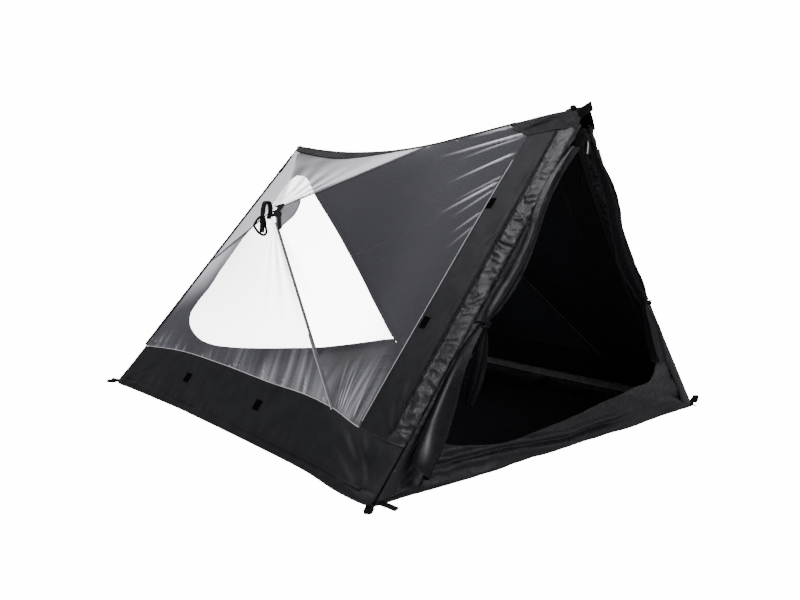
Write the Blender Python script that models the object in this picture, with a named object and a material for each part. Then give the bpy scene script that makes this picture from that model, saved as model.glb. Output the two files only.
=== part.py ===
"""Two-person A-shaped camping tent.

One side is see-through mesh and the other is opaque cloth, both cut the same way.
Both ends stand open, with the door cloth gathered along the pole sleeves.
Metres, +Z up.  The front doorway faces -Y and the origin is the middle of the base on the ground.
"""
import math

import bmesh
import bpy
import numpy as np

# Base and heights
HALF_WIDTH = 0.900
HALF_LENGTH = 1.000
FRONT_HEIGHT = 1.200
FRONT_OVERHANG = 0.043
REAR_HEIGHT = 1.166
REAR_LEAN = 0.245
FRONT_BOW = 0.002
RIGHT_BOW = 0.046

# Cloth, drawn thicker than real cloth so that each sheet is a solid
CLOTH = 0.0024
FLOOR_CLOTH = 0.0035
GAP = 0.0004
FOOT_GAP = 0.0030
RIDGE_GAP = 0.0018
SEAM_STEPS = 9

# Bands, sleeves and poles
SLEEVE_WIDTH = 0.078
SLEEVE_DEPTH = 0.016
POLE_RADIUS = 0.0040
BAND_FOOT_Z = FLOOR_CLOTH + GAP + 0.616 * CLOTH
REAR_SLEEVE_RADIUS = 0.011
REAR_BORDER = 0.088
RIDGE_HALF = 0.0165
WEBBING = 0.0022
PATCH_ALONG_RIDGE_SEAM = 0.96
PATCH_ALONG_FOOT_SEAM = 0.66

# Guyed-out point in the middle of each side wall
PULL = np.array([-0.545, 0.120, 0.840])

# Direction from the left wall straight into the tent
INTO = np.array([0.787, 0.0, -0.616])
INTO = INTO / np.linalg.norm(INTO)

for old in list(bpy.data.objects):
    bpy.data.objects.remove(old, do_unlink=True)


def material(name, colour, roughness, metallic=0.0, alpha=1.0):
    mat = bpy.data.materials.new(name)
    mat.use_nodes = True
    shader = mat.node_tree.nodes["Principled BSDF"]
    shader.inputs["Base Color"].default_value = (*colour, 1.0)
    shader.inputs["Roughness"].default_value = roughness
    shader.inputs["Metallic"].default_value = metallic
    shader.inputs["Alpha"].default_value = alpha
    return mat


LOOKS = {
    "black_cloth": ((0.018, 0.018, 0.021), 0.62, 0.0, 1.0),
    "grey_mesh": ((0.26, 0.26, 0.28), 0.70, 0.0, 0.45),
    "floor_cloth": ((0.012, 0.012, 0.014), 0.50, 0.0, 1.0),
    "webbing": ((0.010, 0.010, 0.011), 0.75, 0.0, 1.0),
    "patch_cloth": ((0.060, 0.060, 0.066), 0.60, 0.0, 1.0),
    "pole_tube": ((0.060, 0.062, 0.066), 0.35, 0.0, 1.0),
    "eyelet_metal": ((0.080, 0.080, 0.085), 0.35, 1.0, 1.0),
    "white_cord": ((0.78, 0.78, 0.76), 0.60, 0.0, 1.0),
}


def add_object(name, verts, faces, look, smooth=False):
    verts = settle(verts)
    centre = (verts.min(axis=0) + verts.max(axis=0)) / 2.0
    centre = np.round(centre, 4)
    mesh = bpy.data.meshes.new(name)
    mesh.from_pydata([tuple(v) for v in (verts - centre)], [], [tuple(f) for f in faces])
    work = bmesh.new()
    work.from_mesh(mesh)
    bmesh.ops.recalc_face_normals(work, faces=work.faces)
    work.to_mesh(mesh)
    work.free()
    for poly in mesh.polygons:
        poly.use_smooth = smooth
    colour, roughness, metallic, alpha = LOOKS[look]
    mesh.materials.append(material(name + "_" + look, colour, roughness, metallic, alpha))
    obj = bpy.data.objects.new(name, mesh)
    obj.location = tuple(centre)
    bpy.context.scene.collection.objects.link(obj)
    return obj


def settle(points):
    """The right front edge is drawn in a little further than the left one."""
    out = np.array(points, dtype=float)
    height = np.clip(out[:, 2] / FRONT_HEIGHT, 0.0, 1.0)
    near = np.clip((-0.60 - out[:, 1]) / 0.40, 0.0, 1.0)
    side = np.clip(out[:, 0] / 0.060, 0.0, 1.0)
    out[:, 0] -= RIGHT_BOW * np.sin(math.pi * height ** 1.2) * near * side
    return out


def flip(points):
    """The same points on the other side of the tent."""
    return np.asarray(points, dtype=float) * np.array([-1.0, 1.0, 1.0])


def both_sides(stem, verts, faces, look_left, look_right, smooth=False, prefix=""):
    add_object(prefix + "left_" + stem, verts, faces, look_left, smooth)
    add_object(prefix + "right_" + stem, flip(verts), faces, look_right, smooth)


def sheet(outer, shift):
    """Closed slab between a grid of points and the same grid moved by shift."""
    outer = np.asarray(outer, dtype=float)
    shift = np.broadcast_to(np.asarray(shift, dtype=float), outer.shape)
    n, m = outer.shape[:2]
    inner = outer + shift
    verts = np.concatenate([outer.reshape(-1, 3), inner.reshape(-1, 3)])
    off = n * m
    faces = []
    for i in range(n - 1):
        for j in range(m - 1):
            a, b, c, d = i * m + j, (i + 1) * m + j, (i + 1) * m + j + 1, i * m + j + 1
            faces.append((a, b, c, d))
            faces.append((off + a, off + d, off + c, off + b))
    rim = [(i, 0) for i in range(n - 1)]
    rim += [(n - 1, j) for j in range(m - 1)]
    rim += [(i, m - 1) for i in range(n - 1, 0, -1)]
    rim += [(0, j) for j in range(m - 1, 0, -1)]
    for k in range(len(rim)):
        a = rim[k][0] * m + rim[k][1]
        nxt = rim[(k + 1) % len(rim)]
        b = nxt[0] * m + nxt[1]
        faces.append((a, off + a, off + b, b))
    return verts, faces


def smooth_line(points):
    """A curve through points, taken by share of its length from 0 to 1."""
    pts = np.asarray(points, dtype=float)
    chord = np.concatenate([[0.0], np.cumsum(np.linalg.norm(np.diff(pts, axis=0), axis=1))])
    share = chord / chord[-1]
    slope = np.zeros_like(pts)
    slope[0] = (pts[1] - pts[0]) / (share[1] - share[0])
    slope[-1] = (pts[-1] - pts[-2]) / (share[-1] - share[-2])
    for k in range(1, len(pts) - 1):
        before = (pts[k] - pts[k - 1]) / (share[k] - share[k - 1])
        after = (pts[k + 1] - pts[k]) / (share[k + 1] - share[k])
        w = (share[k] - share[k - 1]) / (share[k + 1] - share[k - 1])
        slope[k] = before * (1.0 - w) + after * w

    def at(t):
        t = min(max(t, 0.0), 1.0)
        k = min(int(np.searchsorted(share, t, side="right")) - 1, len(pts) - 2)
        h = share[k + 1] - share[k]
        s = (t - share[k]) / h
        a = pts[k] * (2 * s ** 3 - 3 * s ** 2 + 1) + pts[k + 1] * (3 * s ** 2 - 2 * s ** 3)
        return a + h * (slope[k] * (s ** 3 - 2 * s ** 2 + s) + slope[k + 1] * (s ** 3 - s ** 2))

    return at


def sag(start, end, depth, towards):
    """A curve from start to end that leaves the straight line by depth at its middle."""
    start = np.asarray(start, dtype=float)
    end = np.asarray(end, dtype=float)
    towards = np.asarray(towards, dtype=float)

    def at(t):
        return start + (end - start) * t + towards * (depth * 4.0 * t * (1.0 - t))

    return at


def patch(bottom, top, first, last, n, m, trims=(GAP, GAP, GAP, GAP)):
    """Grid over four edge curves, drawn in from each edge by its own trim."""
    c00, c10, c01, c11 = bottom(0), bottom(1), top(0), top(1)

    def surface(u, v):
        a = (1 - v) * bottom(u) + v * top(u)
        b = (1 - u) * first(v) + u * last(v)
        flat = (1 - u) * (1 - v) * c00 + u * (1 - v) * c10 + (1 - u) * v * c01 + u * v * c11
        return a + b - flat

    grid = np.zeros((n + 1, m + 1, 3))
    for i in range(n + 1):
        for j in range(m + 1):
            u = i / n
            v = j / m
            wide = sum(np.linalg.norm(surface((k + 1) / 6, v) - surface(k / 6, v)) for k in range(6))
            tall = sum(np.linalg.norm(surface(u, (k + 1) / 6) - surface(u, k / 6)) for k in range(6))
            wide = max(wide, 0.004)
            tall = max(tall, 0.004)
            u0, u1 = trims[2] / wide, trims[3] / wide
            v0, v1 = trims[0] / tall, trims[1] / tall
            grid[i, j] = surface(u0 + (1 - u0 - u1) * u, v0 + (1 - v0 - v1) * v)
    return grid


def tube(path, outer_loops, inner_loops=None):
    """Closed body through rings of points; a bore runs through it when inner rings are given."""
    n = len(path)
    k = len(outer_loops[0])
    verts = [p for ring in outer_loops for p in ring]
    faces = []
    for i in range(n - 1):
        for j in range(k):
            a, b = i * k + j, i * k + (j + 1) % k
            faces.append((a, b, b + k, a + k))
    if inner_loops is None:
        faces.append(tuple(range(k)))
        faces.append(tuple((n - 1) * k + j for j in range(k)))
        return np.array(verts), faces
    off = n * k
    verts += [p for ring in inner_loops for p in ring]
    for i in range(n - 1):
        for j in range(k):
            a, b = off + i * k + j, off + i * k + (j + 1) % k
            faces.append((a, a + k, b + k, b))
    for i in (0, n - 1):
        for j in range(k):
            a, b = i * k + j, i * k + (j + 1) % k
            faces.append((a, b, off + b, off + a))
    return np.array(verts), faces


def ring_frames(path):
    """Direction of travel at each point of a path."""
    path = np.asarray(path, dtype=float)
    out = []
    for i in range(len(path)):
        a = path[max(i - 1, 0)]
        b = path[min(i + 1, len(path) - 1)]
        d = b - a
        out.append(d / np.linalg.norm(d))
    return out


def round_rod(path, radius, sides=10, hint=(0.0, 1.0, 0.0)):
    rings = []
    for p, d in zip(path, ring_frames(path)):
        side = np.cross(d, np.asarray(hint, dtype=float))
        side = side / np.linalg.norm(side)
        up = np.cross(side, d)
        ring = []
        for k in range(sides):
            a = 2 * math.pi * k / sides
            ring.append(np.asarray(p) + radius * (math.cos(a) * side + math.sin(a) * up))
        rings.append(ring)
    return rings


def front_edge(s):
    """Front edge of the left wall, from the ground at 0 to the peak at 1."""
    bow = FRONT_BOW * math.sin(math.pi * s ** 1.2)
    return np.array([-(HALF_WIDTH * (1 - s) - bow), -HALF_LENGTH - FRONT_OVERHANG * s, FRONT_HEIGHT * s])


def rear_edge(s):
    """Rear edge of the left wall, from the ground at 0 to the peak at 1."""
    return np.array([-HALF_WIDTH * (1 - s), HALF_LENGTH - REAR_LEAN * s, REAR_HEIGHT * s])


ridge_top = smooth_line([
    (0.0, -1.043, 1.200), (0.0, -0.925, 1.195), (0.0, -0.780, 1.182), (0.0, -0.705, 1.175),
    (0.0, -0.450, 1.145), (0.0, -0.250, 1.123), (0.0, 0.050, 1.111), (0.0, 0.314, 1.119),
    (0.0, 0.560, 1.143), (0.0, 0.755, 1.170)])


def ridge_at(y):
    lo, hi = 0.0, 1.0
    for _ in range(40):
        mid = (lo + hi) / 2
        if ridge_top(mid)[1] < y:
            lo = mid
        else:
            hi = mid
    return ridge_top((lo + hi) / 2)[2]


# Shared corners and seams of the left wall
BAND_FOOT_REAR = np.array([-0.776, -0.781, 0.163])
BAND_TOP = np.array([-0.050, -0.830, 1.125])
PANEL_FOOT = np.array([-0.758, -0.615, 0.186])
REAR_FOOT = np.array([-0.770, 0.962, 0.171])
RIDGE_FRONT = np.array([-RIDGE_HALF, -0.705, ridge_at(-0.705) - 0.009])
RIDGE_MID = np.array([-RIDGE_HALF, -0.250, ridge_at(-0.250) - 0.009])
RIDGE_REAR = np.array([-RIDGE_HALF, 0.742, ridge_at(0.742) - 0.010])
REAR_MID = rear_edge(0.50) + np.array([0.0, -0.004, 0.0])
SLEEVE_FOOT_S = 0.128

seam_to_ridge = sag(RIDGE_MID, PULL, 0.0, INTO)
seam_rear_peak = sag(PULL, RIDGE_REAR, 0.018, INTO)
seam_to_foot = sag(PANEL_FOOT, PULL, 0.0, INTO)
seam_to_rear = sag(PULL, REAR_MID, 0.0, INTO)
ridge_seam_front = smooth_line([
    (-RIDGE_HALF, y, ridge_at(y) - 0.009) for y in (-0.705, -0.55, -0.4, -0.25)])
ridge_seam_rear = smooth_line([
    (-RIDGE_HALF, y, ridge_at(y) - 0.009) for y in (-0.25, -0.1, 0.05, 0.3, 0.55, 0.742)])

foot_line = smooth_line([
    (-0.900, -1.000, BAND_FOOT_Z), (-0.898, -0.850, BAND_FOOT_Z), (-0.880, -0.650, BAND_FOOT_Z),
    (-0.872, -0.300, BAND_FOOT_Z), (-0.871, 0.100, BAND_FOOT_Z), (-0.874, 0.500, BAND_FOOT_Z),
    (-0.884, 0.850, BAND_FOOT_Z), (-0.900, 1.000, BAND_FOOT_Z)])
sleeve_foot = front_edge(SLEEVE_FOOT_S)
band_line = smooth_line([
    sleeve_foot, (-0.775, -0.900, 0.157), BAND_FOOT_REAR, PANEL_FOOT, (-0.751, -0.467, 0.196),
    (-0.751, -0.208, 0.196), (-0.747, 0.198, 0.201), (-0.750, 0.600, 0.197), REAR_FOOT])


def band_between(y_from, y_to):
    """The stretch of the bottom band's top edge between two places along the tent."""
    def where(y):
        lo, hi = 0.0, 1.0
        for _ in range(40):
            mid = (lo + hi) / 2
            if band_line(mid)[1] < y:
                lo = mid
            else:
                hi = mid
        return (lo + hi) / 2

    a, b = where(y_from), where(y_to)
    return lambda t: band_line(a + (b - a) * t)


# Bottom bands
grid = patch(foot_line, band_line, sag(foot_line(0), band_line(0), 0.0, INTO),
             sag(foot_line(1), band_line(1), 0.0, INTO), 26, 4, (0.0, GAP, 0.0, 0.0))
verts, faces = sheet(grid, INTO * CLOTH)
both_sides("bottom_band", verts, faces, "black_cloth", "black_cloth")

# Floor
rows = 20
floor_grid = np.zeros((rows + 1, 7, 3))
for i in range(rows + 1):
    edge = foot_line(i / rows)
    for j in range(7):
        floor_grid[i, j] = (edge[0] * (1 - 2 * j / 6), edge[1], FLOOR_CLOTH)
verts, faces = sheet(floor_grid, (0.0, 0.0, -FLOOR_CLOTH))
add_object("floor", verts, faces, "floor_cloth")

# Front bands, between the sleeves and the side panels
sleeve_top_s = 0.945
sleeve_back = SLEEVE_WIDTH + GAP


def sleeve_rear_line(t):
    s = SLEEVE_FOOT_S + (sleeve_top_s - SLEEVE_FOOT_S) * t
    return front_edge(s) + np.array([-0.004 * math.sin(math.pi * t), sleeve_back, 0.0])


front_band_foot = band_between(sleeve_rear_line(0)[1], BAND_FOOT_REAR[1])
band_rear_line = smooth_line([
    BAND_FOOT_REAR, (-0.690, -0.788, 0.283), (-0.486, -0.797, 0.550), (-0.260, -0.812, 0.850), BAND_TOP])
first_edge = smooth_line([front_band_foot(0)] + [sleeve_rear_line(t) for t in (0.25, 0.5, 0.75, 1.0)])
grid = patch(front_band_foot, sag(first_edge(1), BAND_TOP, 0.0, INTO), first_edge, band_rear_line,
             2, SEAM_STEPS, (FOOT_GAP, GAP, GAP, GAP))
verts, faces = sheet(grid, INTO * CLOTH)
both_sides("front_band", verts, faces, "black_cloth", "black_cloth")

# Side panels around the guyed-out point
def front_panel_top(t):
    """From the top of the front band to the ridge, back along it, and down the seam to the guyed-out point."""
    if t < 1 / 9:
        return BAND_TOP + (RIDGE_FRONT - BAND_TOP) * t * 9
    if t < 0.5:
        return ridge_seam_front((t - 1 / 9) / (0.5 - 1 / 9))
    return seam_to_ridge(2 * t - 1)


def rear_panel_edge(s):
    return rear_edge(s) + np.array([0.0, -0.004, 0.0])


rear_side_low = smooth_line([REAR_FOOT] + [rear_panel_edge(s) for s in (0.24, 0.33, 0.42)] + [REAR_MID])
rear_side_high = smooth_line([REAR_MID] + [rear_panel_edge(s) for s in (0.60, 0.70, 0.80, 0.89)] + [RIDGE_REAR])

grid = patch(ridge_seam_rear, lambda t: PULL, seam_to_ridge, lambda t: seam_rear_peak(1 - t),
             2 * SEAM_STEPS, SEAM_STEPS, (RIDGE_GAP, 0.006, GAP, GAP))
verts, faces = sheet(grid, INTO * CLOTH)
both_sides("panel_upper", verts, faces, "grey_mesh", "black_cloth")

grid = patch(band_between(BAND_FOOT_REAR[1], PANEL_FOOT[1]), front_panel_top, band_rear_line,
             seam_to_foot, 2 * SEAM_STEPS, SEAM_STEPS, (FOOT_GAP, RIDGE_GAP, GAP, GAP))
front_panel = grid
verts, faces = sheet(grid, INTO * CLOTH)
both_sides("panel_front", verts, faces, "grey_mesh", "black_cloth")

grid = patch(band_between(PANEL_FOOT[1], REAR_FOOT[1]), seam_to_rear, seam_to_foot,
             rear_side_low, 2 * SEAM_STEPS, SEAM_STEPS, (FOOT_GAP, GAP, GAP, 0.004))
verts, faces = sheet(grid, INTO * CLOTH)
both_sides("panel_lower", verts, faces, "grey_mesh", "black_cloth")

grid = patch(rear_side_high, lambda t: PULL, lambda t: seam_to_rear(1 - t), lambda t: seam_rear_peak(1 - t),
             SEAM_STEPS, SEAM_STEPS, (0.004, 0.006, GAP, GAP))
verts, faces = sheet(grid, INTO * CLOTH)
both_sides("panel_rear", verts, faces, "grey_mesh", "black_cloth")

# Ridge strip
n = 14
grid = np.zeros((n + 1, 3, 3))
drop = np.zeros((n + 1, 3, 3))
for i in range(n + 1):
    y = -0.7045 + (0.7420 + 0.7045) * i / n
    z = ridge_at(y)
    grid[i, 0] = (-RIDGE_HALF + GAP, y, z - 0.0088)
    grid[i, 1] = (0.0, y, z)
    grid[i, 2] = (RIDGE_HALF - GAP, y, z - 0.0088)
    drop[i, 0] = INTO * CLOTH
    drop[i, 1] = (0.0, 0.0, -CLOTH * 1.3)
    drop[i, 2] = flip(INTO * CLOTH)
verts, faces = sheet(grid, drop)
add_object("ridge_strip", verts, faces, "black_cloth")

# Front peak piece over the top of both sleeves and bands
side_line = smooth_line([
    (-0.046, -0.957, 1.137), (-0.048, -0.890, 1.129), BAND_TOP + np.array([0.0016, 0.0, 0.0006]),
    (-0.034, -0.770, 1.139), RIDGE_FRONT + np.array([0.0012, -0.0010, 0.0])])
n = 8
grid = np.zeros((n + 1, 5, 3))
drop = np.zeros((n + 1, 5, 3))
for i in range(n + 1):
    p = side_line(i / n) + np.array([0.0012, 0.0, 0.0])
    z = ridge_at(p[1])
    for j, f in enumerate((-1.0, -0.5, 0.0, 0.5, 1.0)):
        rise = (z - p[2]) * (1 - abs(f) ** 1.25)
        grid[i, j] = (p[0] * -f, p[1], p[2] + rise)
        lean = INTO * CLOTH
        drop[i, j] = (-lean[0] * f * (1 if f < 0 else 1), 0.0, lean[2] - 0.0008 * (1 - abs(f)))
verts, faces = sheet(grid, drop)
add_object("front_peak_patch", verts, faces, "black_cloth")

# Front sleeves and poles
ALONG = np.array([0.0, 1.0, 0.0])
OUTER = [(0.0, 0.008), (0.0025, 0.003), (0.009, 0.0), (0.030, 0.0), (0.055, 0.0), (SLEEVE_WIDTH, 0.0),
         (SLEEVE_WIDTH, 0.0040), (0.055, 0.0055), (0.034, 0.0094), (0.020, 0.0150),
         (0.010, SLEEVE_DEPTH), (0.003, 0.0134)]
INNER = [(0.0016, 0.008), (0.0040, 0.0042), (0.0095, 0.0016), (0.024, 0.0016), (0.036, 0.0016),
         (0.050, 0.0016), (0.050, 0.0038), (0.042, 0.0052), (0.031, 0.0084), (0.0190, 0.0136),
         (0.0102, 0.0144), (0.0044, 0.0122)]
n = 12
path = [front_edge(SLEEVE_FOOT_S + 0.004 + (sleeve_top_s - SLEEVE_FOOT_S - 0.004) * i / n) for i in range(n + 1)]
outer = [[p + ALONG * a + INTO * b for a, b in OUTER] for p in path]
inner = [[p + ALONG * a + INTO * b for a, b in INNER] for p in path]
verts, faces = tube(path, outer, inner)
both_sides("front_sleeve", verts, faces, "black_cloth", "black_cloth")

n = 18
path = [front_edge(0.012 + (0.960 - 0.012) * i / n) + ALONG * 0.0102 + INTO * 0.0084 for i in range(n + 1)]
verts, faces = tube(path, round_rod(path, POLE_RADIUS))
both_sides("front_pole", verts, faces, "pole_tube", "pole_tube", smooth=True)

# Front peak cap with its webbing tab
n = 4
grid = np.zeros((n + 1, 5, 3))
for i in range(n + 1):
    y = -1.046 + 0.079 * i / n
    for j, f in enumerate((-1.0, -0.5, 0.0, 0.5, 1.0)):
        grid[i, j] = (0.062 * f, y, FRONT_HEIGHT + 0.0038 - 0.080 * abs(f))
drop = np.zeros_like(grid)
for i in range(n + 1):
    for j, f in enumerate((-1.0, -0.5, 0.0, 0.5, 1.0)):
        drop[i, j] = (-0.787 * CLOTH * f, 0.0, -CLOTH * (1.6 - abs(f)))
verts, faces = sheet(grid, drop)
add_object("front_peak_cap", verts, faces, "black_cloth")

tab = np.zeros((4, 3, 3))
for i, (y, z) in enumerate(((-1.060, 1.214), (-1.040, 1.2185), (-1.020, 1.2140), (-1.000, 1.2066))):
    for j, x in enumerate((-0.016, 0.0, 0.016)):
        tab[i, j] = (x + 0.006, y, z)
verts, faces = sheet(tab, (0.0, 0.0, -WEBBING))
add_object("front_peak_tab", verts, faces, "webbing")

# Rear sleeves, poles, borders and cap
n = 12
path = [rear_edge(0.150 + (0.935 - 0.150) * i / n) + np.array([0.0140, 0.0030, -0.0105]) for i in range(n + 1)]
verts, faces = tube(path, round_rod(path, REAR_SLEEVE_RADIUS, 12), round_rod(path, REAR_SLEEVE_RADIUS - 0.0016, 12))
both_sides("rear_sleeve", verts, faces, "black_cloth", "black_cloth", smooth=True)
path = [rear_edge(0.020 + (0.955 - 0.020) * i / 10) + np.array([0.0140, 0.0030, -0.0105]) for i in range(11)]
verts, faces = tube(path, round_rod(path, POLE_RADIUS))
both_sides("rear_pole", verts, faces, "pole_tube", "pole_tube", smooth=True)

n = 12
grid = np.zeros((n + 1, 4, 3))
for i in range(n + 1):
    s = 0.150 + (0.935 - 0.150) * i / n
    p = rear_edge(s)
    wide = min(REAR_BORDER / math.cos(math.atan2(HALF_WIDTH, REAR_HEIGHT)), -p[0] - 0.0400)
    for j in range(4):
        x = p[0] + 0.0375 + (wide + 0.0015) * j / 3
        grid[i, j] = (x, p[1] + 0.0020, p[2])
verts, faces = sheet(grid, (0.0, -0.0050, 0.0))
both_sides("rear_door", verts, faces, "black_cloth", "black_cloth")

n = 3
grid = np.zeros((n + 1, 5, 3))
for i in range(n + 1):
    y = 0.7435 + 0.020 * i / n
    for j, f in enumerate((-1.0, -0.5, 0.0, 0.5, 1.0)):
        grid[i, j] = (0.0155 * f, y, ridge_at(0.7435) + 0.002 + 0.0006 * i - 0.0090 * abs(f))
verts, faces = sheet(grid, (0.0, 0.0, -CLOTH * 1.3))
add_object("rear_peak_cap", verts, faces, "black_cloth")

# Front and rear sills
xs = np.linspace(-1.0, 1.0, 17)


def sill_height(x):
    return 0.092 + 0.055 * (x / 0.45) ** 2 * 0.55 + 0.075 * max(0.0, abs(x) - 0.50) / 0.19


grid = np.zeros((17, 5, 3))
for i, f in enumerate(xs):
    for j in range(5):
        s_low = 0.0060 / FRONT_HEIGHT
        x_top = f * 0.676
        z_top = min(sill_height(x_top), 0.230)
        z = 0.0060 + (z_top - 0.0060) * j / 4
        reach = -front_edge(z / FRONT_HEIGHT)[0] - 0.026
        grid[i, j] = (f * reach, -HALF_LENGTH - FRONT_OVERHANG * z / FRONT_HEIGHT + 0.010, z)
verts, faces = sheet(grid, (0.0, CLOTH, 0.0))
add_object("front_sill", verts, faces, "black_cloth")

grid = np.zeros((17, 4, 3))
for i, f in enumerate(xs):
    x_top = f * 0.66
    z_top = 0.052 + 0.080 * min(abs(x_top) / 0.42, 1.6) ** 2
    z_top = min(z_top, 0.160)
    for j in range(4):
        z = 0.0060 + (z_top - 0.0060) * j / 3
        reach = HALF_WIDTH * (1 - z / REAR_HEIGHT) - 0.0395
        grid[i, j] = (f * reach, HALF_LENGTH - REAR_LEAN * z / REAR_HEIGHT - 0.0040, z)
verts, faces = sheet(grid, (0.0, -CLOTH, 0.0))
add_object("rear_sill", verts, faces, "black_cloth")

# Front door cloth: gathered along the sleeve down to the tie, hanging free below it
widths = smooth_line([(0.004, 0, 0), (0.0072, 0, 0), (0.0084, 0, 0), (0.0086, 0, 0), (0.0080, 0, 0), (0.006, 0, 0)])
path = [front_edge(0.925 - (0.925 - 0.440) * i / 14) + np.array([0.0318, 0.006, 0.0]) for i in range(15)]
rings = []
for i, (p, d) in enumerate(zip(path, ring_frames(path))):
    r = widths(i / 14)[0]
    side = np.cross(d, (0.0, 1.0, 0.0))
    side = side / np.linalg.norm(side)
    ring = []
    for k in range(10):
        a = 2 * math.pi * k / 10
        ring.append(p + side * r * math.cos(a) + np.array([0.0, 1.0, 0.0]) * 0.75 * r * math.sin(a))
    rings.append(ring)
verts, faces = tube(path, rings)
both_sides("door_gather", verts, faces, "black_cloth", "black_cloth", smooth=True, prefix="front_")

OUT_EDGE = smooth_line([(-0.444, -1.034, 0.520), (-0.500, -1.036, 0.425), (-0.560, -1.034, 0.335),
                        (-0.646, -1.030, 0.235), (-0.700, -1.026, 0.110), (-0.692, -1.024, 0.026)])
IN_EDGE = smooth_line([(-0.428, -1.034, 0.514), (-0.448, -1.038, 0.420), (-0.455, -1.042, 0.345),
                       (-0.505, -1.040, 0.240), (-0.610, -1.034, 0.130), (-0.676, -1.026, 0.030)])
grid = np.zeros((15, 5, 3))
for i in range(15):
    a, b = OUT_EDGE(i / 14), IN_EDGE(i / 14)
    for j in range(5):
        f = j / 4
        grid[i, j] = a + (b - a) * f + np.array([0.0, -0.010 * math.sin(math.pi * f), 0.0])
verts, faces = sheet(grid, (0.0, 0.0050, 0.0))
both_sides("door_leaf", verts, faces, "black_cloth", "black_cloth", prefix="front_")

# Webbing and patches at the guyed-out points
cell = front_panel[-2:, -2:]
fine = np.zeros((5, 5, 3))
for i in range(5):
    for j in range(5):
        reach_u = 1.0 - PATCH_ALONG_RIDGE_SEAM * (1.0 - i / 4)
        reach_v = 1.0 - PATCH_ALONG_FOOT_SEAM * (1.0 - j / 4)
        fine[i, j] = ((1 - reach_u) * (1 - reach_v) * cell[0, 0] + reach_u * (1 - reach_v) * cell[1, 0]
                      + (1 - reach_u) * reach_v * cell[0, 1] + reach_u * reach_v * cell[1, 1])
verts, faces = sheet(fine - INTO * (GAP + 0.0012), INTO * 0.0012)
both_sides("pullout_patch", verts, faces, "patch_cloth", "patch_cloth")

across = np.array([0.0, 1.0, 0.0])
strap_path = [(0.0190, -0.034), (0.0110, -0.004), (0.0120, 0.022), (0.0200, 0.036), (0.0320, 0.036),
              (0.0420, 0.016), (0.0480, -0.030), (0.0520, -0.090)]
grid = np.zeros((len(strap_path), 3, 3))
for i, (out, up) in enumerate(strap_path):
    for j, w in enumerate((-0.012, 0.0, 0.012)):
        grid[i, j] = PULL + np.array([-out, 0.0, up]) + across * w
thick = np.zeros_like(grid)
for i in range(len(strap_path)):
    a = grid[max(i - 1, 0), 1]
    b = grid[min(i + 1, len(strap_path) - 1), 1]
    d = (b - a) / np.linalg.norm(b - a)
    thick[i, :] = np.cross(d, across) * WEBBING
verts, faces = sheet(grid, thick)
both_sides("pullout_strap", verts, faces, "webbing", "webbing")


# Corner loops of webbing and eyelets
def flat_ring(centre, axis_a, axis_b, half_a, half_b, hole_a, hole_b, thick, sides=20):
    axis_a = np.asarray(axis_a, dtype=float) / np.linalg.norm(axis_a)
    axis_b = np.asarray(axis_b, dtype=float) / np.linalg.norm(axis_b)
    up = np.cross(axis_a, axis_b)
    up = up / np.linalg.norm(up)
    verts, faces = [], []
    for level in (0.0, thick):
        for ra, rb in ((half_a, half_b), (hole_a, hole_b)):
            for k in range(sides):
                t = 2 * math.pi * k / sides
                c = math.copysign(abs(math.cos(t)) ** 0.6, math.cos(t))
                s = math.copysign(abs(math.sin(t)) ** 0.6, math.sin(t))
                verts.append(np.asarray(centre) + axis_a * ra * c + axis_b * rb * s + up * level)
    for k in range(sides):
        n = (k + 1) % sides
        lo_out, lo_in, hi_out, hi_in = 0, sides, 2 * sides, 3 * sides
        faces.append((lo_out + k, lo_in + k, lo_in + n, lo_out + n))
        faces.append((hi_out + k, hi_out + n, hi_in + n, hi_in + k))
        faces.append((lo_out + k, lo_out + n, hi_out + n, hi_out + k))
        faces.append((lo_in + k, hi_in + k, hi_in + n, lo_in + n))
    return verts, faces


verts, faces = flat_ring((-0.9215, -1.018, 0.0008), (-0.75, -0.66, 0.02), (0.66, -0.75, 0.0),
                         0.024, 0.013, 0.014, 0.0055, 0.0036)
both_sides("corner_loop", verts, faces, "webbing", "webbing", prefix="front_")
verts, faces = flat_ring((-0.9215, 1.018, 0.0008), (-0.75, 0.66, 0.02), (-0.66, -0.75, 0.0),
                         0.024, 0.013, 0.014, 0.0055, 0.0036)
both_sides("corner_loop", verts, [f[::-1] for f in faces], "webbing", "webbing", prefix="rear_")

lean = band_line(0.05) - foot_line(0.05)
lean = lean / np.linalg.norm(lean)
verts, faces = flat_ring(np.array([-0.8845, -0.935, 0.0290]) - INTO * 0.0014, (0.0, 1.0, 0.0), lean,
                         0.014, 0.014, 0.0075, 0.0075, 0.0014)
both_sides("eyelet", verts, faces, "eyelet_metal", "eyelet_metal", prefix="front_")

# Zip pull hanging at the top of the front doorway
pull_path = [(0.002, -1.047, 1.092), (0.003, -1.048, 1.078), (0.002, -1.048, 1.062), (0.001, -1.047, 1.047)]
verts, faces = tube(pull_path, round_rod([np.array(p) for p in pull_path], 0.0022, 8))
add_object("zip_pull", verts, faces, "white_cord", smooth=True)
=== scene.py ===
"""Looks of a two-person A-shaped camping tent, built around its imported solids.

Metres, +Z up, front doorway towards -Y, origin at the middle of the base on the ground.
"""

import math

import bpy
import numpy as np
from mathutils import Matrix, Vector


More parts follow.
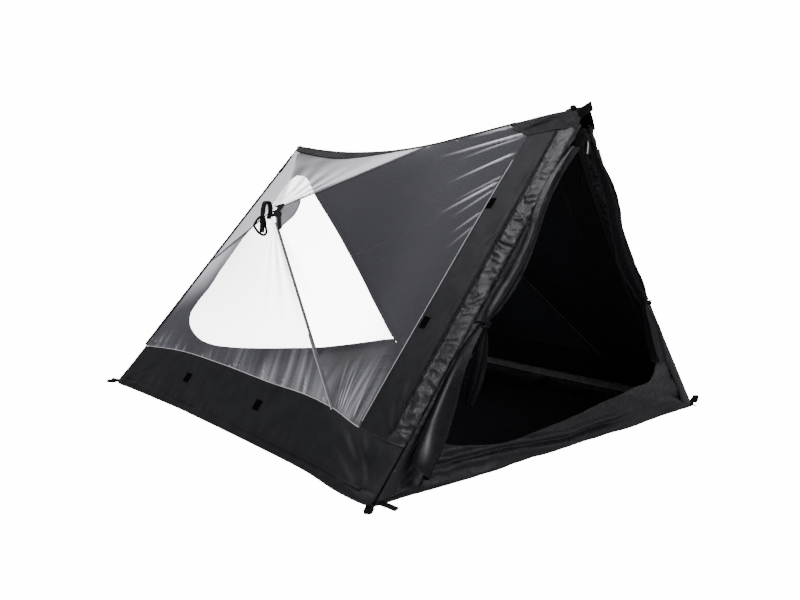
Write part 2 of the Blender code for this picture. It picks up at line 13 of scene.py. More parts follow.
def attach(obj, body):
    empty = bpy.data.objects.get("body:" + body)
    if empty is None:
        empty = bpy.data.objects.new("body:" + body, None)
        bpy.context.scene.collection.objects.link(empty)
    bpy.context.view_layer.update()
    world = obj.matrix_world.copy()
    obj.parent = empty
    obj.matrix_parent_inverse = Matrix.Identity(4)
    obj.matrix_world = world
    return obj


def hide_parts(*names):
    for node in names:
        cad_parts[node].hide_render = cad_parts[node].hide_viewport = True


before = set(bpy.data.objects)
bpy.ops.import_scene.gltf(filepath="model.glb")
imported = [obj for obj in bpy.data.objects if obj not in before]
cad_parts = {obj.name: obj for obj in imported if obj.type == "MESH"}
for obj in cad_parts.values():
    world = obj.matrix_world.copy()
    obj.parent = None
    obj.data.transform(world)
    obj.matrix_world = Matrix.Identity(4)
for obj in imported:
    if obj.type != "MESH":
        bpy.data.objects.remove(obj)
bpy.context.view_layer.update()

HALF_WIDTH = 0.9
HALF_LENGTH = 1.0
FRONT_HEIGHT = 1.2
FRONT_OVERHANG = 0.043
REAR_HEIGHT = 1.166
REAR_LEAN = 0.245
FRONT_BOW = 0.002
RIGHT_BOW = 0.046
SLEEVE_WIDTH = 0.078
SLEEVE_LENGTH = 1.225
SLEEVE_GIRTH = 0.19
REAR_POLE_LENGTH = 1.49
REAR_SLEEVE_RADIUS = 0.0092
RIDGE_HALF = 0.0165
PULL = np.array([-0.545, 0.12, 0.84])
INTO = np.array([0.787, 0.0, -0.616])
INTO = INTO / np.linalg.norm(INTO)
OUT = -INTO
MIRROR = np.array([-1.0, 1.0, 1.0])
FLIP = {"left": np.ones(3), "right": MIRROR}
AHEAD = (0.0, -1.0, 0.0)
BEHIND = (0.0, 1.0, 0.0)
UP = (0.0, 0.0, 1.0)
SHEET = 0.0006
THIN_SHEET = 0.0005
DOOR_THICK = 0.0004
PATCH_THICK = 0.0012
REAR_CLEARANCE = 0.0025


def shares(n):
    """A row of n even shares from 0 to 1."""
    return np.linspace(0.0, 1.0, n)


# Materials

WHITE = (1.0, 1.0, 1.0, 1.0)
# Light tone painted into shiny cloth as a highlight.
PAINTED_HIGHLIGHT_TONE = (0.17, 0.17, 0.18, 1.0)
# Light tone painted into the insect mesh as sheen and highlight.
NET_PAINTED_SHEEN_TONE = (0.84, 0.84, 0.88, 1.0)


def new_material(name):
    mat = bpy.data.materials.new(name)
    mat.use_nodes = True
    return mat, mat.node_tree, mat.node_tree.nodes["Principled BSDF"]


def feed(tree, node, sockets):
    """Give each named socket of a node its value, or a link where an output is given."""
    for key, value in sockets.items():
        if isinstance(value, bpy.types.NodeSocket):
            tree.links.new(value, node.inputs[key])
        else:
            node.inputs[key].default_value = value


def add(tree, kind, sockets, **settings):
    """A new node with its settings and its sockets filled."""
    node = tree.nodes.new("ShaderNode" + kind)
    for key, value in settings.items():
        setattr(node, key, value)
    feed(tree, node, sockets)
    return node


def add_attribute(tree, name):
    return add(tree, "Attribute", {}, attribute_name=name).outputs["Fac"]


def add_tones(tree, factor, *stops):
    """Colours between stops, each a place and a colour."""
    node = add(tree, "ValToRGB", {"Fac": factor})
    for element, (place, colour) in zip(node.color_ramp.elements, stops):
        element.position = place
        element.color = (*colour, 1.0)
    return node.outputs["Color"]


def weave_bump(tree, shader, threads, depth, crinkle, crinkle_scale):
    """Fine plain weave over a soft crinkle, both as bump, laid along the cloth's own width and length."""
    coords = add(tree, "TexCoord", {})
    scaled = add(tree, "Mapping", {"Vector": coords.outputs["UV"], "Scale": (threads, threads, threads)})
    wave = {"Vector": scaled.outputs["Vector"], "Scale": 1.0, "Distortion": 0.3}
    warp = add(tree, "TexWave", wave, bands_direction="X")
    weft = add(tree, "TexWave", wave, bands_direction="Y")
    cross = add(tree, "Math", {0: warp.outputs["Fac"], 1: weft.outputs["Fac"]}, operation="MAXIMUM")
    soft = add(tree, "TexNoise", {"Vector": coords.outputs["Object"], "Scale": crinkle_scale, "Detail": 5.0,
                                  "Roughness": 0.55, "Distortion": 0.6})
    first = add(tree, "Bump", {"Height": soft.outputs["Fac"], "Strength": crinkle, "Distance": 0.004})
    second = add(tree, "Bump", {"Height": cross.outputs["Value"], "Normal": first.outputs["Normal"],
                                "Strength": depth, "Distance": 0.0003})
    feed(tree, shader, {"Normal": second.outputs["Normal"]})
    return soft.outputs["Fac"]


def cloth_material(name, low, high, rough, sheen=0.25, threads=900.0, crinkle=0.25, crinkle_scale=14.0,
                   spec=0.5, weave=0.35, shine=0.0):
    """Woven cloth between two tones; shine is how much gloss the sheet's own shine adds, and where that shine
    is set the colour is also drawn towards a light tone, a painted highlight.
    """
    mat, tree, shader = new_material(name)
    soft = weave_bump(tree, shader, threads, weave, crinkle, crinkle_scale)
    tone = add_tones(tree, soft, (0.3, low), (0.72, high))
    gloss = add(tree, "MapRange", {"Value": soft, "From Min": 0.3, "From Max": 0.7, "To Min": rough + 0.06,
                                   "To Max": rough - 0.06})
    feed(tree, shader, {"Base Color": tone, "Roughness": gloss.outputs["Result"], "Specular IOR Level": spec,
                        "Sheen Weight": sheen, "Sheen Roughness": 0.45})
    if shine:
        # Painted highlight: the shine lightens the colour as well as raising the gloss.
        shine_and_painted_highlight = add_attribute(tree, "shine")
        level = add(tree, "Math", {0: shine_and_painted_highlight, 1: shine, 2: spec}, operation="MULTIPLY_ADD")
        painted_highlight = add(tree, "Mix", {"Factor": shine_and_painted_highlight, "A": tone, "B": PAINTED_HIGHLIGHT_TONE}, data_type="RGBA")
        feed(tree, shader, {"Specular IOR Level": level.outputs["Value"],
                            "Base Color": painted_highlight.outputs["Result"]})
    return mat


def set_shine(obj, values):
    """Give a sheet of two layers its shine, one value for each point of its grid: more gloss, and a painted
    highlight in its colour.
    """
    layer = obj.data.attributes.new("shine", "FLOAT", "POINT")
    layer.data.foreach_set("value", np.concatenate([values.ravel()] * 2).astype(np.float32))


def mesh_material(name, colour, thin, dense):
    """See-through insect mesh: its threads close up where it is seen edge-on and where it is gathered, and
    there its colour turns light, a painted sheen and painted highlight.
    """
    mat, tree, shader = new_material(name)
    weave_bump(tree, shader, 1400.0, 0.003, 0.004, 10.0)
    facing = add(tree, "LayerWeight", {"Blend": 0.35}).outputs["Facing"]
    gather = add_attribute(tree, "gather")
    cover = add(tree, "MapRange", {"Value": facing, "To Min": thin, "To Max": dense}, clamp=False)
    closed = add(tree, "Math", {0: gather, 1: 0.42, 2: cover.outputs["Result"]},
                 operation="MULTIPLY_ADD", use_clamp=True)
    # Painted sheen where the mesh is seen edge-on, and painted highlights where the gather attribute is set.
    edge_on_painted_sheen = add(tree, "MapRange", {"Value": facing, "From Min": 0.52, "From Max": 0.69},
                  interpolation_type="SMOOTHSTEP")
    painted_sheen_share = add(tree, "Math", {0: edge_on_painted_sheen.outputs["Result"], 1: gather}, operation="MAXIMUM")
    painted_sheen_colour = add(tree, "Mix", {"Factor": painted_sheen_share.outputs["Value"], "A": (*colour, 1.0),
                             "B": NET_PAINTED_SHEEN_TONE}, data_type="RGBA")
    feed(tree, shader, {"Alpha": closed.outputs["Value"], "Base Color": painted_sheen_colour.outputs["Result"],
                        "Roughness": 0.7, "Specular IOR Level": 0.1, "Sheen Weight": 0.4,
                        "Sheen Roughness": 0.3})
    return mat


def plain_material(name, colour, rough, metallic=0.0, grain=60.0, bump=0.15, spec=0.5):
    """A hard or woven part of one colour with a fine grain."""
    mat, tree, shader = new_material(name)
    place = add(tree, "TexCoord", {}).outputs["Object"]
    speckle = add(tree, "TexNoise", {"Vector": place, "Scale": grain, "Detail": 4.0}).outputs["Fac"]
    darker, lighter = [c * 0.75 for c in colour], [min(1.0, c * 1.25) for c in colour]
    relief = add(tree, "Bump", {"Height": speckle, "Strength": bump, "Distance": 0.0006})
    feed(tree, shader, {"Base Color": add_tones(tree, speckle, (0.0, darker), (1.0, lighter)),
                        "Roughness": rough, "Metallic": metallic, "Specular IOR Level": spec,
                        "Normal": relief.outputs["Normal"]})
    return mat


SHELL = cloth_material("shell_cloth", (0.007, 0.0072, 0.0086), (0.0115, 0.0118, 0.0138), 0.5,
                       sheen=0.02, spec=0.13, shine=0.9)
SATIN = cloth_material("satin_cloth", (0.008, 0.0082, 0.01), (0.0135, 0.0138, 0.0164), 0.35, sheen=0.02,
                       spec=0.36, crinkle=0.9, crinkle_scale=42.0)
PEAK_CLOTH = cloth_material("peak_cloth", (0.005, 0.0051, 0.0064), (0.0095, 0.0097, 0.0118), 0.42, sheen=0.0,
                            spec=0.075, crinkle=0.8, crinkle_scale=36.0)
RIDGE_CLOTH = cloth_material("ridge_cloth", (0.006, 0.0062, 0.0074), (0.0095, 0.0098, 0.0114),
                             0.62, sheen=0.0, spec=0.06)
GLOSS = cloth_material("glossy_cloth", (0.005, 0.0052, 0.0066), (0.0085, 0.0088, 0.011), 0.3, sheen=0.0,
                       spec=0.1, crinkle=0.3, crinkle_scale=20.0, shine=0.6)
INSIDE_SEAM = cloth_material("inside_seam", (0.02, 0.02, 0.023), (0.034, 0.034, 0.038), 0.6)
INSIDE_HEM = cloth_material("inside_hem", (0.045, 0.045, 0.05), (0.11, 0.11, 0.118), 0.5,
                            spec=0.8, crinkle_scale=30.0)
INNER = cloth_material("inner_cloth", (0.01, 0.0104, 0.013), (0.015, 0.0155, 0.019),
                       0.6, sheen=0.0, spec=0.09)
GROUND = cloth_material("ground_cloth", (0.0028, 0.0029, 0.0036), (0.0052, 0.0054, 0.0068), 0.34, sheen=0.0,
                        crinkle=0.6, crinkle_scale=7.0, spec=0.3)
NET = mesh_material("insect_net", (0.098, 0.098, 0.108), 0.22, 1.1)
HEM = cloth_material("light_hem", (0.34, 0.34, 0.36), (0.46, 0.46, 0.48), 0.55, threads=700.0, crinkle=0.1)
PATCH = cloth_material("patch_cloth", (0.13, 0.13, 0.14), (0.19, 0.19, 0.2), 0.55, threads=700.0, sheen=0.05)
TAPE = cloth_material("seam_tape", (0.085, 0.085, 0.092), (0.12, 0.12, 0.13), 0.6, threads=700.0)
WEB = cloth_material("webbing", (0.0035, 0.0035, 0.0042), (0.0075, 0.0075, 0.0088), 0.66, threads=420.0,
                     weave=0.9, sheen=0.02, spec=0.1)
HOOK = plain_material("hook_and_loop", (0.0012, 0.0012, 0.0015), 0.9, grain=900.0, bump=0.9, spec=0.02)
THREAD = plain_material("thread", (0.045, 0.045, 0.05), 0.55, grain=300.0)
METAL = plain_material("dark_metal", (0.045, 0.046, 0.05), 0.32, metallic=0.9, grain=180.0, bump=0.05)
POLE = plain_material("pole_metal", (0.07, 0.072, 0.078), 0.3, metallic=0.9, grain=220.0, bump=0.05)
PLASTIC = plain_material("black_plastic", (0.004, 0.004, 0.0046), 0.45, grain=140.0, bump=0.06, spec=0.12)
CORD_WHITE = cloth_material("white_cord", (0.62, 0.62, 0.6), (0.8, 0.8, 0.78), 0.6, threads=500.0, weave=0.9)


# Maths

def smoothstep(a, b, x):
    """0 below a, 1 above b, and a smooth rise between them."""
    t = np.clip((x - a) / (b - a), 0.0, 1.0)
    return t * t * (3.0 - 2.0 * t)


noise_table = np.random.RandomState(7).rand(4096)


def hashed(ix, iy, iz, seed):
    h = (ix * 73856093) ^ (iy * 19349663) ^ (iz * 83492791) ^ (seed * 2654435)
    return noise_table[np.abs(h) % 4096]


def noise(p, scale, seed=0):
    """Smooth value noise from -1 to 1. p is (..., 3); scale is cells per metre, one number or three."""
    q = p * np.asarray(scale, dtype=float) + 100.0
    i = np.floor(q).astype(np.int64)
    f = q - i
    f = f * f * (3.0 - 2.0 * f)
    total = 0.0
    for dx in (0, 1):
        wx = f[..., 0] if dx else 1.0 - f[..., 0]
        for dy in (0, 1):
            wy = f[..., 1] if dy else 1.0 - f[..., 1]
            for dz in (0, 1):
                wz = f[..., 2] if dz else 1.0 - f[..., 2]
                total = total + wx * wy * wz * hashed(i[..., 0] + dx, i[..., 1] + dy, i[..., 2] + dz, seed)
    return total * 2.0 - 1.0


def octaves(p, scale, count, seed=0):
    """Noise summed over finer and finer scales, each half as strong as the one before."""
    out = 0.0
    amp = 1.0
    scale = np.asarray(scale, dtype=float)
    for k in range(count):
        out = out + amp * noise(p, scale * 2.0 ** k, seed + 11 * k)
        amp *= 0.5
    return out


def row(values):
    return np.atleast_1d(np.asarray(values, dtype=float))


def unit(vectors):
    """Vectors drawn to a length of one, along the last axis."""
    return vectors / np.linalg.norm(vectors, axis=-1, keepdims=True)


class Line:
    """A smooth curve through points, taken by share of its length, for many shares at once."""

    def __init__(self, points):
        pts = np.asarray(points, dtype=float)
        chord = np.concatenate([[0.0], np.cumsum(np.linalg.norm(np.diff(pts, axis=0), axis=1))])
        share = chord / chord[-1]
        slope = np.zeros_like(pts)
        slope[0] = (pts[1] - pts[0]) / (share[1] - share[0])
        slope[-1] = (pts[-1] - pts[-2]) / (share[-1] - share[-2])
        for k in range(1, len(pts) - 1):
            before = (pts[k] - pts[k - 1]) / (share[k] - share[k - 1])
            after = (pts[k + 1] - pts[k]) / (share[k + 1] - share[k])
            w = (share[k] - share[k - 1]) / (share[k + 1] - share[k - 1])
            slope[k] = before * (1.0 - w) + after * w
        self.pts, self.share, self.slope, self.length = pts, share, slope, chord[-1]

    def __call__(self, t):
        t = np.clip(row(t), 0.0, 1.0)
        k = np.clip(np.searchsorted(self.share, t, side="right") - 1, 0, len(self.pts) - 2)
        h = (self.share[k + 1] - self.share[k])[:, None]
        s = (t - self.share[k])[:, None] / h
        a = self.pts[k] * (2 * s ** 3 - 3 * s ** 2 + 1) + self.pts[k + 1] * (3 * s ** 2 - 2 * s ** 3)
        return a + h * (self.slope[k] * (s ** 3 - 2 * s ** 2 + s) + self.slope[k + 1] * (s ** 3 - s ** 2))


def flat_points(a, b):
    """Points (a, b, 0), for two arrays that spread over one grid."""
    a, b = np.broadcast_arrays(a, b)
    return np.stack([a, b, np.zeros(a.shape)], axis=-1)


def sag(start, end, depth, towards):
    """A line from start to end that bows by depth in one direction."""
    start, end, towards = (np.asarray(x, dtype=float) for x in (start, end, towards))

    def at(t):
        t = row(t)[:, None]
        return start + (end - start) * t + towards * (depth * 4.0 * t * (1.0 - t))

    return at


def still(point):
    """A line that stays at one point."""
    point = np.asarray(point, dtype=float)
    return lambda t: np.repeat(point[None], len(np.atleast_1d(t)), axis=0)


def turned(curve):
    """The same line run backwards."""
    return lambda t: curve(1.0 - row(t))


def quilt(bottom, top, first, last, n, m):
    """Grid of points over four edge curves."""
    u = shares(n + 1)
    v = shares(m + 1)
    b, t, f, l = bottom(u), top(u), first(v), last(v)
    U, V = u[:, None, None], v[None, :, None]
    a = (1 - V) * b[:, None] + V * t[:, None]
    c = (1 - U) * f[None] + U * l[None]
    flat = (1 - U) * (1 - V) * b[0] + U * (1 - V) * b[-1] + (1 - U) * V * t[0] + U * V * t[-1]
    return a + c - flat


def relax(grid, steps):
    """Draw a grid tight between its four edges, as stretched cloth is."""
    g = grid.copy()
    for _ in range(steps):
        g[1:-1, 1:-1] = (g[:-2, 1:-1] + g[2:, 1:-1] + g[1:-1, :-2] + g[1:-1, 2:]) / 4
    return g


def normals_of(grid, outward):
    """The direction that each point of a grid faces, on the outward side."""
    du = np.gradient(grid, axis=0)
    dv = np.gradient(grid, axis=1)
    n = np.cross(du, dv)
    length = np.linalg.norm(n, axis=-1, keepdims=True)
    n = n / np.maximum(length, 1e-12)
    flip = np.sign((n * outward).sum(axis=-1, keepdims=True))
    flip[flip == 0] = 1.0
    n = n * flip
    bad = length[..., 0] < 1e-10
    n[bad] = np.asarray(outward, dtype=float) / np.linalg.norm(outward)
    return n


def settle(points):
    """The right front edge is drawn in a little further than the left one."""
    out = np.array(points, dtype=float)
    height = np.clip(out[..., 2] / FRONT_HEIGHT, 0.0, 1.0)
    near = np.clip((-0.6 - out[..., 1]) / 0.4, 0.0, 1.0)
    side = np.clip(out[..., 0] / 0.06, 0.0, 1.0)
    out[..., 0] -= RIGHT_BOW * np.sin(math.pi * height ** 1.2) * near * side
    return out


def fold(grid, a, b, width, height, narrow=0.35, peak=0.25, side=0.35):
    """A drawn fold along the line from a to b: narrow and sharp at a, wide and flat at b."""
    a = np.asarray(a, dtype=float)
    b = np.asarray(b, dtype=float)
    d = b - a
    length = np.linalg.norm(d)
    d = d / length
    rel = grid - a
    along = (rel @ d) / length
    off = np.linalg.norm(rel - (rel @ d)[..., None] * d, axis=-1)
    t = np.clip(along, 0.0, 1.0)
    w = width * (narrow + (1.0 - narrow) * t)
    x = off / w
    shape = np.exp(-x * x) - side * np.exp(-((x - 1.6) ** 2) * 1.4)
    env = smoothstep(-0.02, peak, along) * (1.0 - smoothstep(peak, 1.0, along))
    return height * shape * env


def grid_faces(n, m, offset=0, flip=False):
    """The four-sided faces of a grid of n by m points."""
    i = np.arange(n - 1)[:, None] * m + np.arange(m - 1)[None]
    quad = np.stack([i, i + m, i + m + 1, i + 1], axis=-1).reshape(-1, 4) + offset
    return quad[:, ::-1] if flip else quad


def build(name, verts, faces, mat, uvs=None, smooth=True):
    """One visible piece, riding on the tent's body."""
    mesh = bpy.data.meshes.new(name)
    verts = settle(np.asarray(verts, dtype=float))
    mesh.from_pydata(verts.tolist(), [], [tuple(int(i) for i in f) for f in faces])
    mesh.validate()
    if uvs is not None:
        layer = mesh.uv_layers.new(name="cloth")
        loops = np.zeros(len(mesh.loops), dtype=np.int64)
        mesh.loops.foreach_get("vertex_index", loops)
        layer.data.foreach_set("uv", np.asarray(uvs, dtype=float)[loops].ravel())
    mesh.polygons.foreach_set("use_smooth", [smooth] * len(mesh.polygons))
    mesh.materials.append(mat)
    mesh.update()
    obj = bpy.data.objects.new(name, mesh)
    bpy.context.scene.collection.objects.link(obj)
    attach(obj, "root")
    return obj


def grid_uv(grid):
    """Texture coordinates in metres along the cloth's own width and length."""
    down = np.cumsum(np.linalg.norm(np.diff(grid, axis=0), axis=-1), axis=0)
    over = np.cumsum(np.linalg.norm(np.diff(grid, axis=1), axis=-1), axis=1)
    du = np.concatenate([np.zeros((1, grid.shape[1])), down])
    dv = np.concatenate([np.zeros((grid.shape[0], 1)), over], axis=1)
    return np.stack([du, dv], axis=-1).reshape(-1, 2)


def cloth(name, grid, outward, mat, thick=SHEET):
    """A sheet of cloth over a grid of points; a thickness of None leaves it a single layer."""
    n, m = grid.shape[:2]
    uv = grid_uv(grid)
    turn = normals_of(grid, outward)
    mid = (n // 2, m // 2)
    face_normal = np.cross(grid[mid[0] + 1, mid[1]] - grid[mid], grid[mid[0], mid[1] + 1] - grid[mid])
    agrees = float((face_normal * turn[mid]).sum()) > 0
    if thick is None:
        obj = build(name, grid.reshape(-1, 3), grid_faces(n, m, 0, not agrees), mat, uv)
    else:
        outer = (grid + turn * thick / 2).reshape(-1, 3)
        inner = (grid - turn * thick / 2).reshape(-1, 3)
        off = n * m
        faces = [grid_faces(n, m, 0, not agrees), grid_faces(n, m, off, agrees)]
        idx = np.arange(n * m).reshape(n, m)
        rim = np.concatenate([idx[:, 0], idx[-1, 1:], idx[-2::-1, -1], idx[0, -2:0:-1]])
        nxt = np.roll(rim, -1)
        sides = np.stack([rim, rim + off, nxt + off, nxt], axis=-1)
        if agrees:
            sides = sides[:, ::-1]
        faces.append(sides)
        obj = build(name, np.concatenate([outer, inner]), np.concatenate(faces), mat,
                    np.concatenate([uv, uv]))
    return obj


def ribbon(name, path, across, mat, half_width, thick, cross_steps=4, crown=0.0):
    """A flat strip along a path; across gives the strip's sideways direction at each point."""
    path = np.asarray(path, dtype=float)
    across = unit(np.broadcast_to(np.asarray(across, dtype=float), path.shape))
    along = np.gradient(path, axis=0)
    up = unit(np.cross(along, across))
    w = np.broadcast_to(np.asarray(half_width, dtype=float), (len(path),))
    s = np.linspace(-1.0, 1.0, cross_steps + 1)
    grid = (path[:, None] + across[:, None] * (w[:, None] * s[None])[..., None]
            + up[:, None] * (crown * (1.0 - s[None] ** 2))[..., None])
    return cloth(name, grid, up[len(up) // 2], mat, thick)


def tube(name, path, radius, mat, sides=12, hint=(0.0, 0.0, 1.0)):
    """A round bar along a path, with flat ends."""
    path = np.asarray(path, dtype=float)
    along = unit(np.gradient(path, axis=0))
    hint = np.broadcast_to(np.asarray(hint, dtype=float), path.shape)
    side = unit(np.cross(along, hint))
    up = np.cross(side, along)
    r = np.broadcast_to(np.asarray(radius, dtype=float), (len(path),))
    a = np.linspace(0.0, 2.0 * math.pi, sides, endpoint=False)
    ring = (path[:, None] + side[:, None] * (r[:, None] * np.cos(a)[None])[..., None]
            + up[:, None] * (r[:, None] * np.sin(a)[None])[..., None])
    n = len(path)
    verts = ring.reshape(-1, 3)
    faces = []
    for i in range(n - 1):
        for j in range(sides):
            k = (j + 1) % sides
            faces.append((i * sides + j, i * sides + k, (i + 1) * sides + k, (i + 1) * sides + j))
    faces.append(tuple(range(sides))[::-1])
    faces.append(tuple((n - 1) * sides + j for j in range(sides)))
    uv = np.stack([np.repeat(shares(n), sides), np.tile(a / 6.28, n)], axis=-1)
    obj = build(name, verts, faces, mat, uv)
    return obj


def loop_tube(name, path, radius, mat, sides=10):
    """A closed ring of round section along a closed path."""
    path = np.asarray(path, dtype=float)
    n = len(path)
    along = unit(np.roll(path, -1, axis=0) - np.roll(path, 1, axis=0))
    centre = path.mean(axis=0)
    normal = np.cross(path[0] - centre, path[n // 4] - centre)
    normal = normal / np.linalg.norm(normal)
    side = unit(np.cross(along, normal))
    a = np.linspace(0.0, 2.0 * math.pi, sides, endpoint=False)
    ring = (path[:, None] + side[:, None] * (radius * np.cos(a)[None])[..., None]
            + normal[None, None] * (radius * np.sin(a)[None])[..., None])
    faces = []
    for i in range(n):
        for j in range(sides):
            k = (j + 1) % sides
            faces.append((i * sides + j, ((i + 1) % n) * sides + j, ((i + 1) % n) * sides + k, i * sides + k))
    obj = build(name, ring.reshape(-1, 3), faces, mat, None)
    return obj


# Shared lines of the tent, on its ridge and its left side

def front_edge(s):
    """Points of the front pole, by share of its height."""
    s = row(s)
    bow = FRONT_BOW * np.sin(math.pi * s ** 1.2)
    return np.stack([-(HALF_WIDTH * (1 - s) - bow), -HALF_LENGTH - FRONT_OVERHANG * s,
                     FRONT_HEIGHT * s], axis=-1)


def rear_edge(s):
    """Points of the rear pole, by share of its height."""
    s = row(s)
    return np.stack([-HALF_WIDTH * (1 - s), HALF_LENGTH - REAR_LEAN * s, REAR_HEIGHT * s], axis=-1)


ridge_line = Line([(0.0, -1.043, 1.2), (0.0, -0.925, 1.195), (0.0, -0.78, 1.182), (0.0, -0.705, 1.175),
                   (0.0, -0.45, 1.145), (0.0, -0.25, 1.123), (0.0, 0.05, 1.111), (0.0, 0.314, 1.119),
                   (0.0, 0.56, 1.143), (0.0, 0.755, 1.17)])
ridge_points = ridge_line(shares(400))


def ridge_z(y):
    return np.interp(y, ridge_points[:, 1], ridge_points[:, 2])


BAND_FOOT_REAR = np.array([-0.776, -0.781, 0.163])
BAND_TOP = np.array([-0.05, -0.83, 1.125])
PANEL_FOOT = np.array([-0.758, -0.615, 0.186])
REAR_FOOT = np.array([-0.77, 0.962, 0.171])
RIDGE_FRONT = np.array([-RIDGE_HALF, -0.705, float(ridge_z(-0.705)) - 0.009])
RIDGE_MID = np.array([-RIDGE_HALF, -0.25, float(ridge_z(-0.25)) - 0.009])
RIDGE_REAR = np.array([-RIDGE_HALF, 0.742, float(ridge_z(0.742)) - 0.01])
REAR_MID = rear_edge(0.5)[0] + np.array([0.0, -0.004, 0.0])
SLEEVE_FOOT_S = 0.128
SLEEVE_TOP_S = 0.945
FOOT_Z = 0.0054

seam_to_ridge = sag(RIDGE_MID, PULL, 0.0, INTO)
seam_rear_peak = sag(PULL, RIDGE_REAR, 0.018, INTO)
seam_to_foot = sag(PANEL_FOOT, PULL, 0.0, INTO)
seam_to_rear = sag(PULL, REAR_MID, 0.0, INTO)
ridge_seam_front = Line([(-RIDGE_HALF, y, float(ridge_z(y)) - 0.009) for y in (-0.705, -0.55, -0.4, -0.25)])
ridge_seam_rear = Line([(-RIDGE_HALF, y, float(ridge_z(y)) - 0.009)
                        for y in (-0.25, -0.1, 0.05, 0.3, 0.55, 0.742)])
foot_line = Line([(-0.9, -1.0, FOOT_Z), (-0.898, -0.85, FOOT_Z), (-0.88, -0.65, FOOT_Z),
                  (-0.872, -0.3, FOOT_Z), (-0.871, 0.1, FOOT_Z), (-0.874, 0.5, FOOT_Z),
                  (-0.884, 0.85, FOOT_Z), (-0.9, 1.0, FOOT_Z)])
band_line = Line([front_edge(SLEEVE_FOOT_S)[0], (-0.775, -0.9, 0.157), BAND_FOOT_REAR, PANEL_FOOT,
                  (-0.751, -0.467, 0.196), (-0.751, -0.208, 0.196), (-0.747, 0.198, 0.201),
                  (-0.75, 0.6, 0.197), REAR_FOOT])
band_points = band_line(shares(800))


def band_between(y_from, y_to):
    """The top edge of the foot band between two places along the tent."""
    a = float(np.interp(y_from, band_points[:, 1], shares(800)))
    b = float(np.interp(y_to, band_points[:, 1], shares(800)))
    return lambda t: band_line(a + (b - a) * row(t))


def sleeve_rear(t):
    """The rear edge of the front pole's sleeve."""
    t = row(t)
    s = SLEEVE_FOOT_S + (SLEEVE_TOP_S - SLEEVE_FOOT_S) * t
    p = front_edge(s)
    p[:, 0] -= 0.004 * np.sin(math.pi * t)
    p[:, 1] += SLEEVE_WIDTH
    return p


band_rear = Line([BAND_FOOT_REAR, (-0.69, -0.788, 0.283), (-0.486, -0.797, 0.55),
                  (-0.26, -0.812, 0.85), BAND_TOP])


def rear_rim(s):
    return rear_edge(s)[0] + (0.0, -0.004, 0.0)


rear_side_low = Line([REAR_FOOT] + [rear_rim(s) for s in (0.24, 0.33, 0.42)] + [REAR_MID])
rear_side_high = Line([REAR_MID] + [rear_rim(s) for s in (0.6, 0.7, 0.8, 0.89)] + [RIDGE_REAR])


def front_panel_top(t):
    """From the top of the front band to the ridge, back along it and down to the guyed-out point."""
    t = row(t)
    out = np.where((t < 0.5)[:, None], ridge_seam_front((t - 1 / 9) / (0.5 - 1 / 9)),
                   seam_to_ridge(2 * t - 1))
    start = BAND_TOP + (RIDGE_FRONT - BAND_TOP) * (t * 9)[:, None]
    return np.where((t < 1 / 9)[:, None], start, out)


# Side walls

WALL_STEPS = {"left": (118, 90, 196, 66, 190), "right": (50, 44, 60, 36, 44)}


def wall_panels(side):
    """The four panels of one side wall, drawn on the left side; the see-through wall has finer grids."""
    low, wide, tall, few, rounds = WALL_STEPS[side]
    upper = quilt(ridge_seam_rear, still(PULL), seam_to_ridge, turned(seam_rear_peak), few, few)
    front = quilt(band_between(BAND_FOOT_REAR[1], PANEL_FOOT[1]), front_panel_top, band_rear,
                  seam_to_foot, wide, tall)
    lower = quilt(band_between(PANEL_FOOT[1], REAR_FOOT[1]), seam_to_rear, seam_to_foot,
                  rear_side_low, low, low)
    rear = quilt(rear_side_high, still(PULL), turned(seam_to_rear), turned(seam_rear_peak), few, few)
    return {"upper": upper, "front": relax(front, rounds), "lower": lower, "rear": rear}


def edge_fade(grid, share=0.05):
    """0 along the four edges of a grid, rising to 1 inside."""
    n, m = grid.shape[:2]
    u = shares(n)[:, None]
    v = shares(m)[None]
    return (smoothstep(0.0, share, u) * smoothstep(0.0, share, 1 - u) * smoothstep(0.0, share, v)
            * smoothstep(0.0, share, 1 - v))


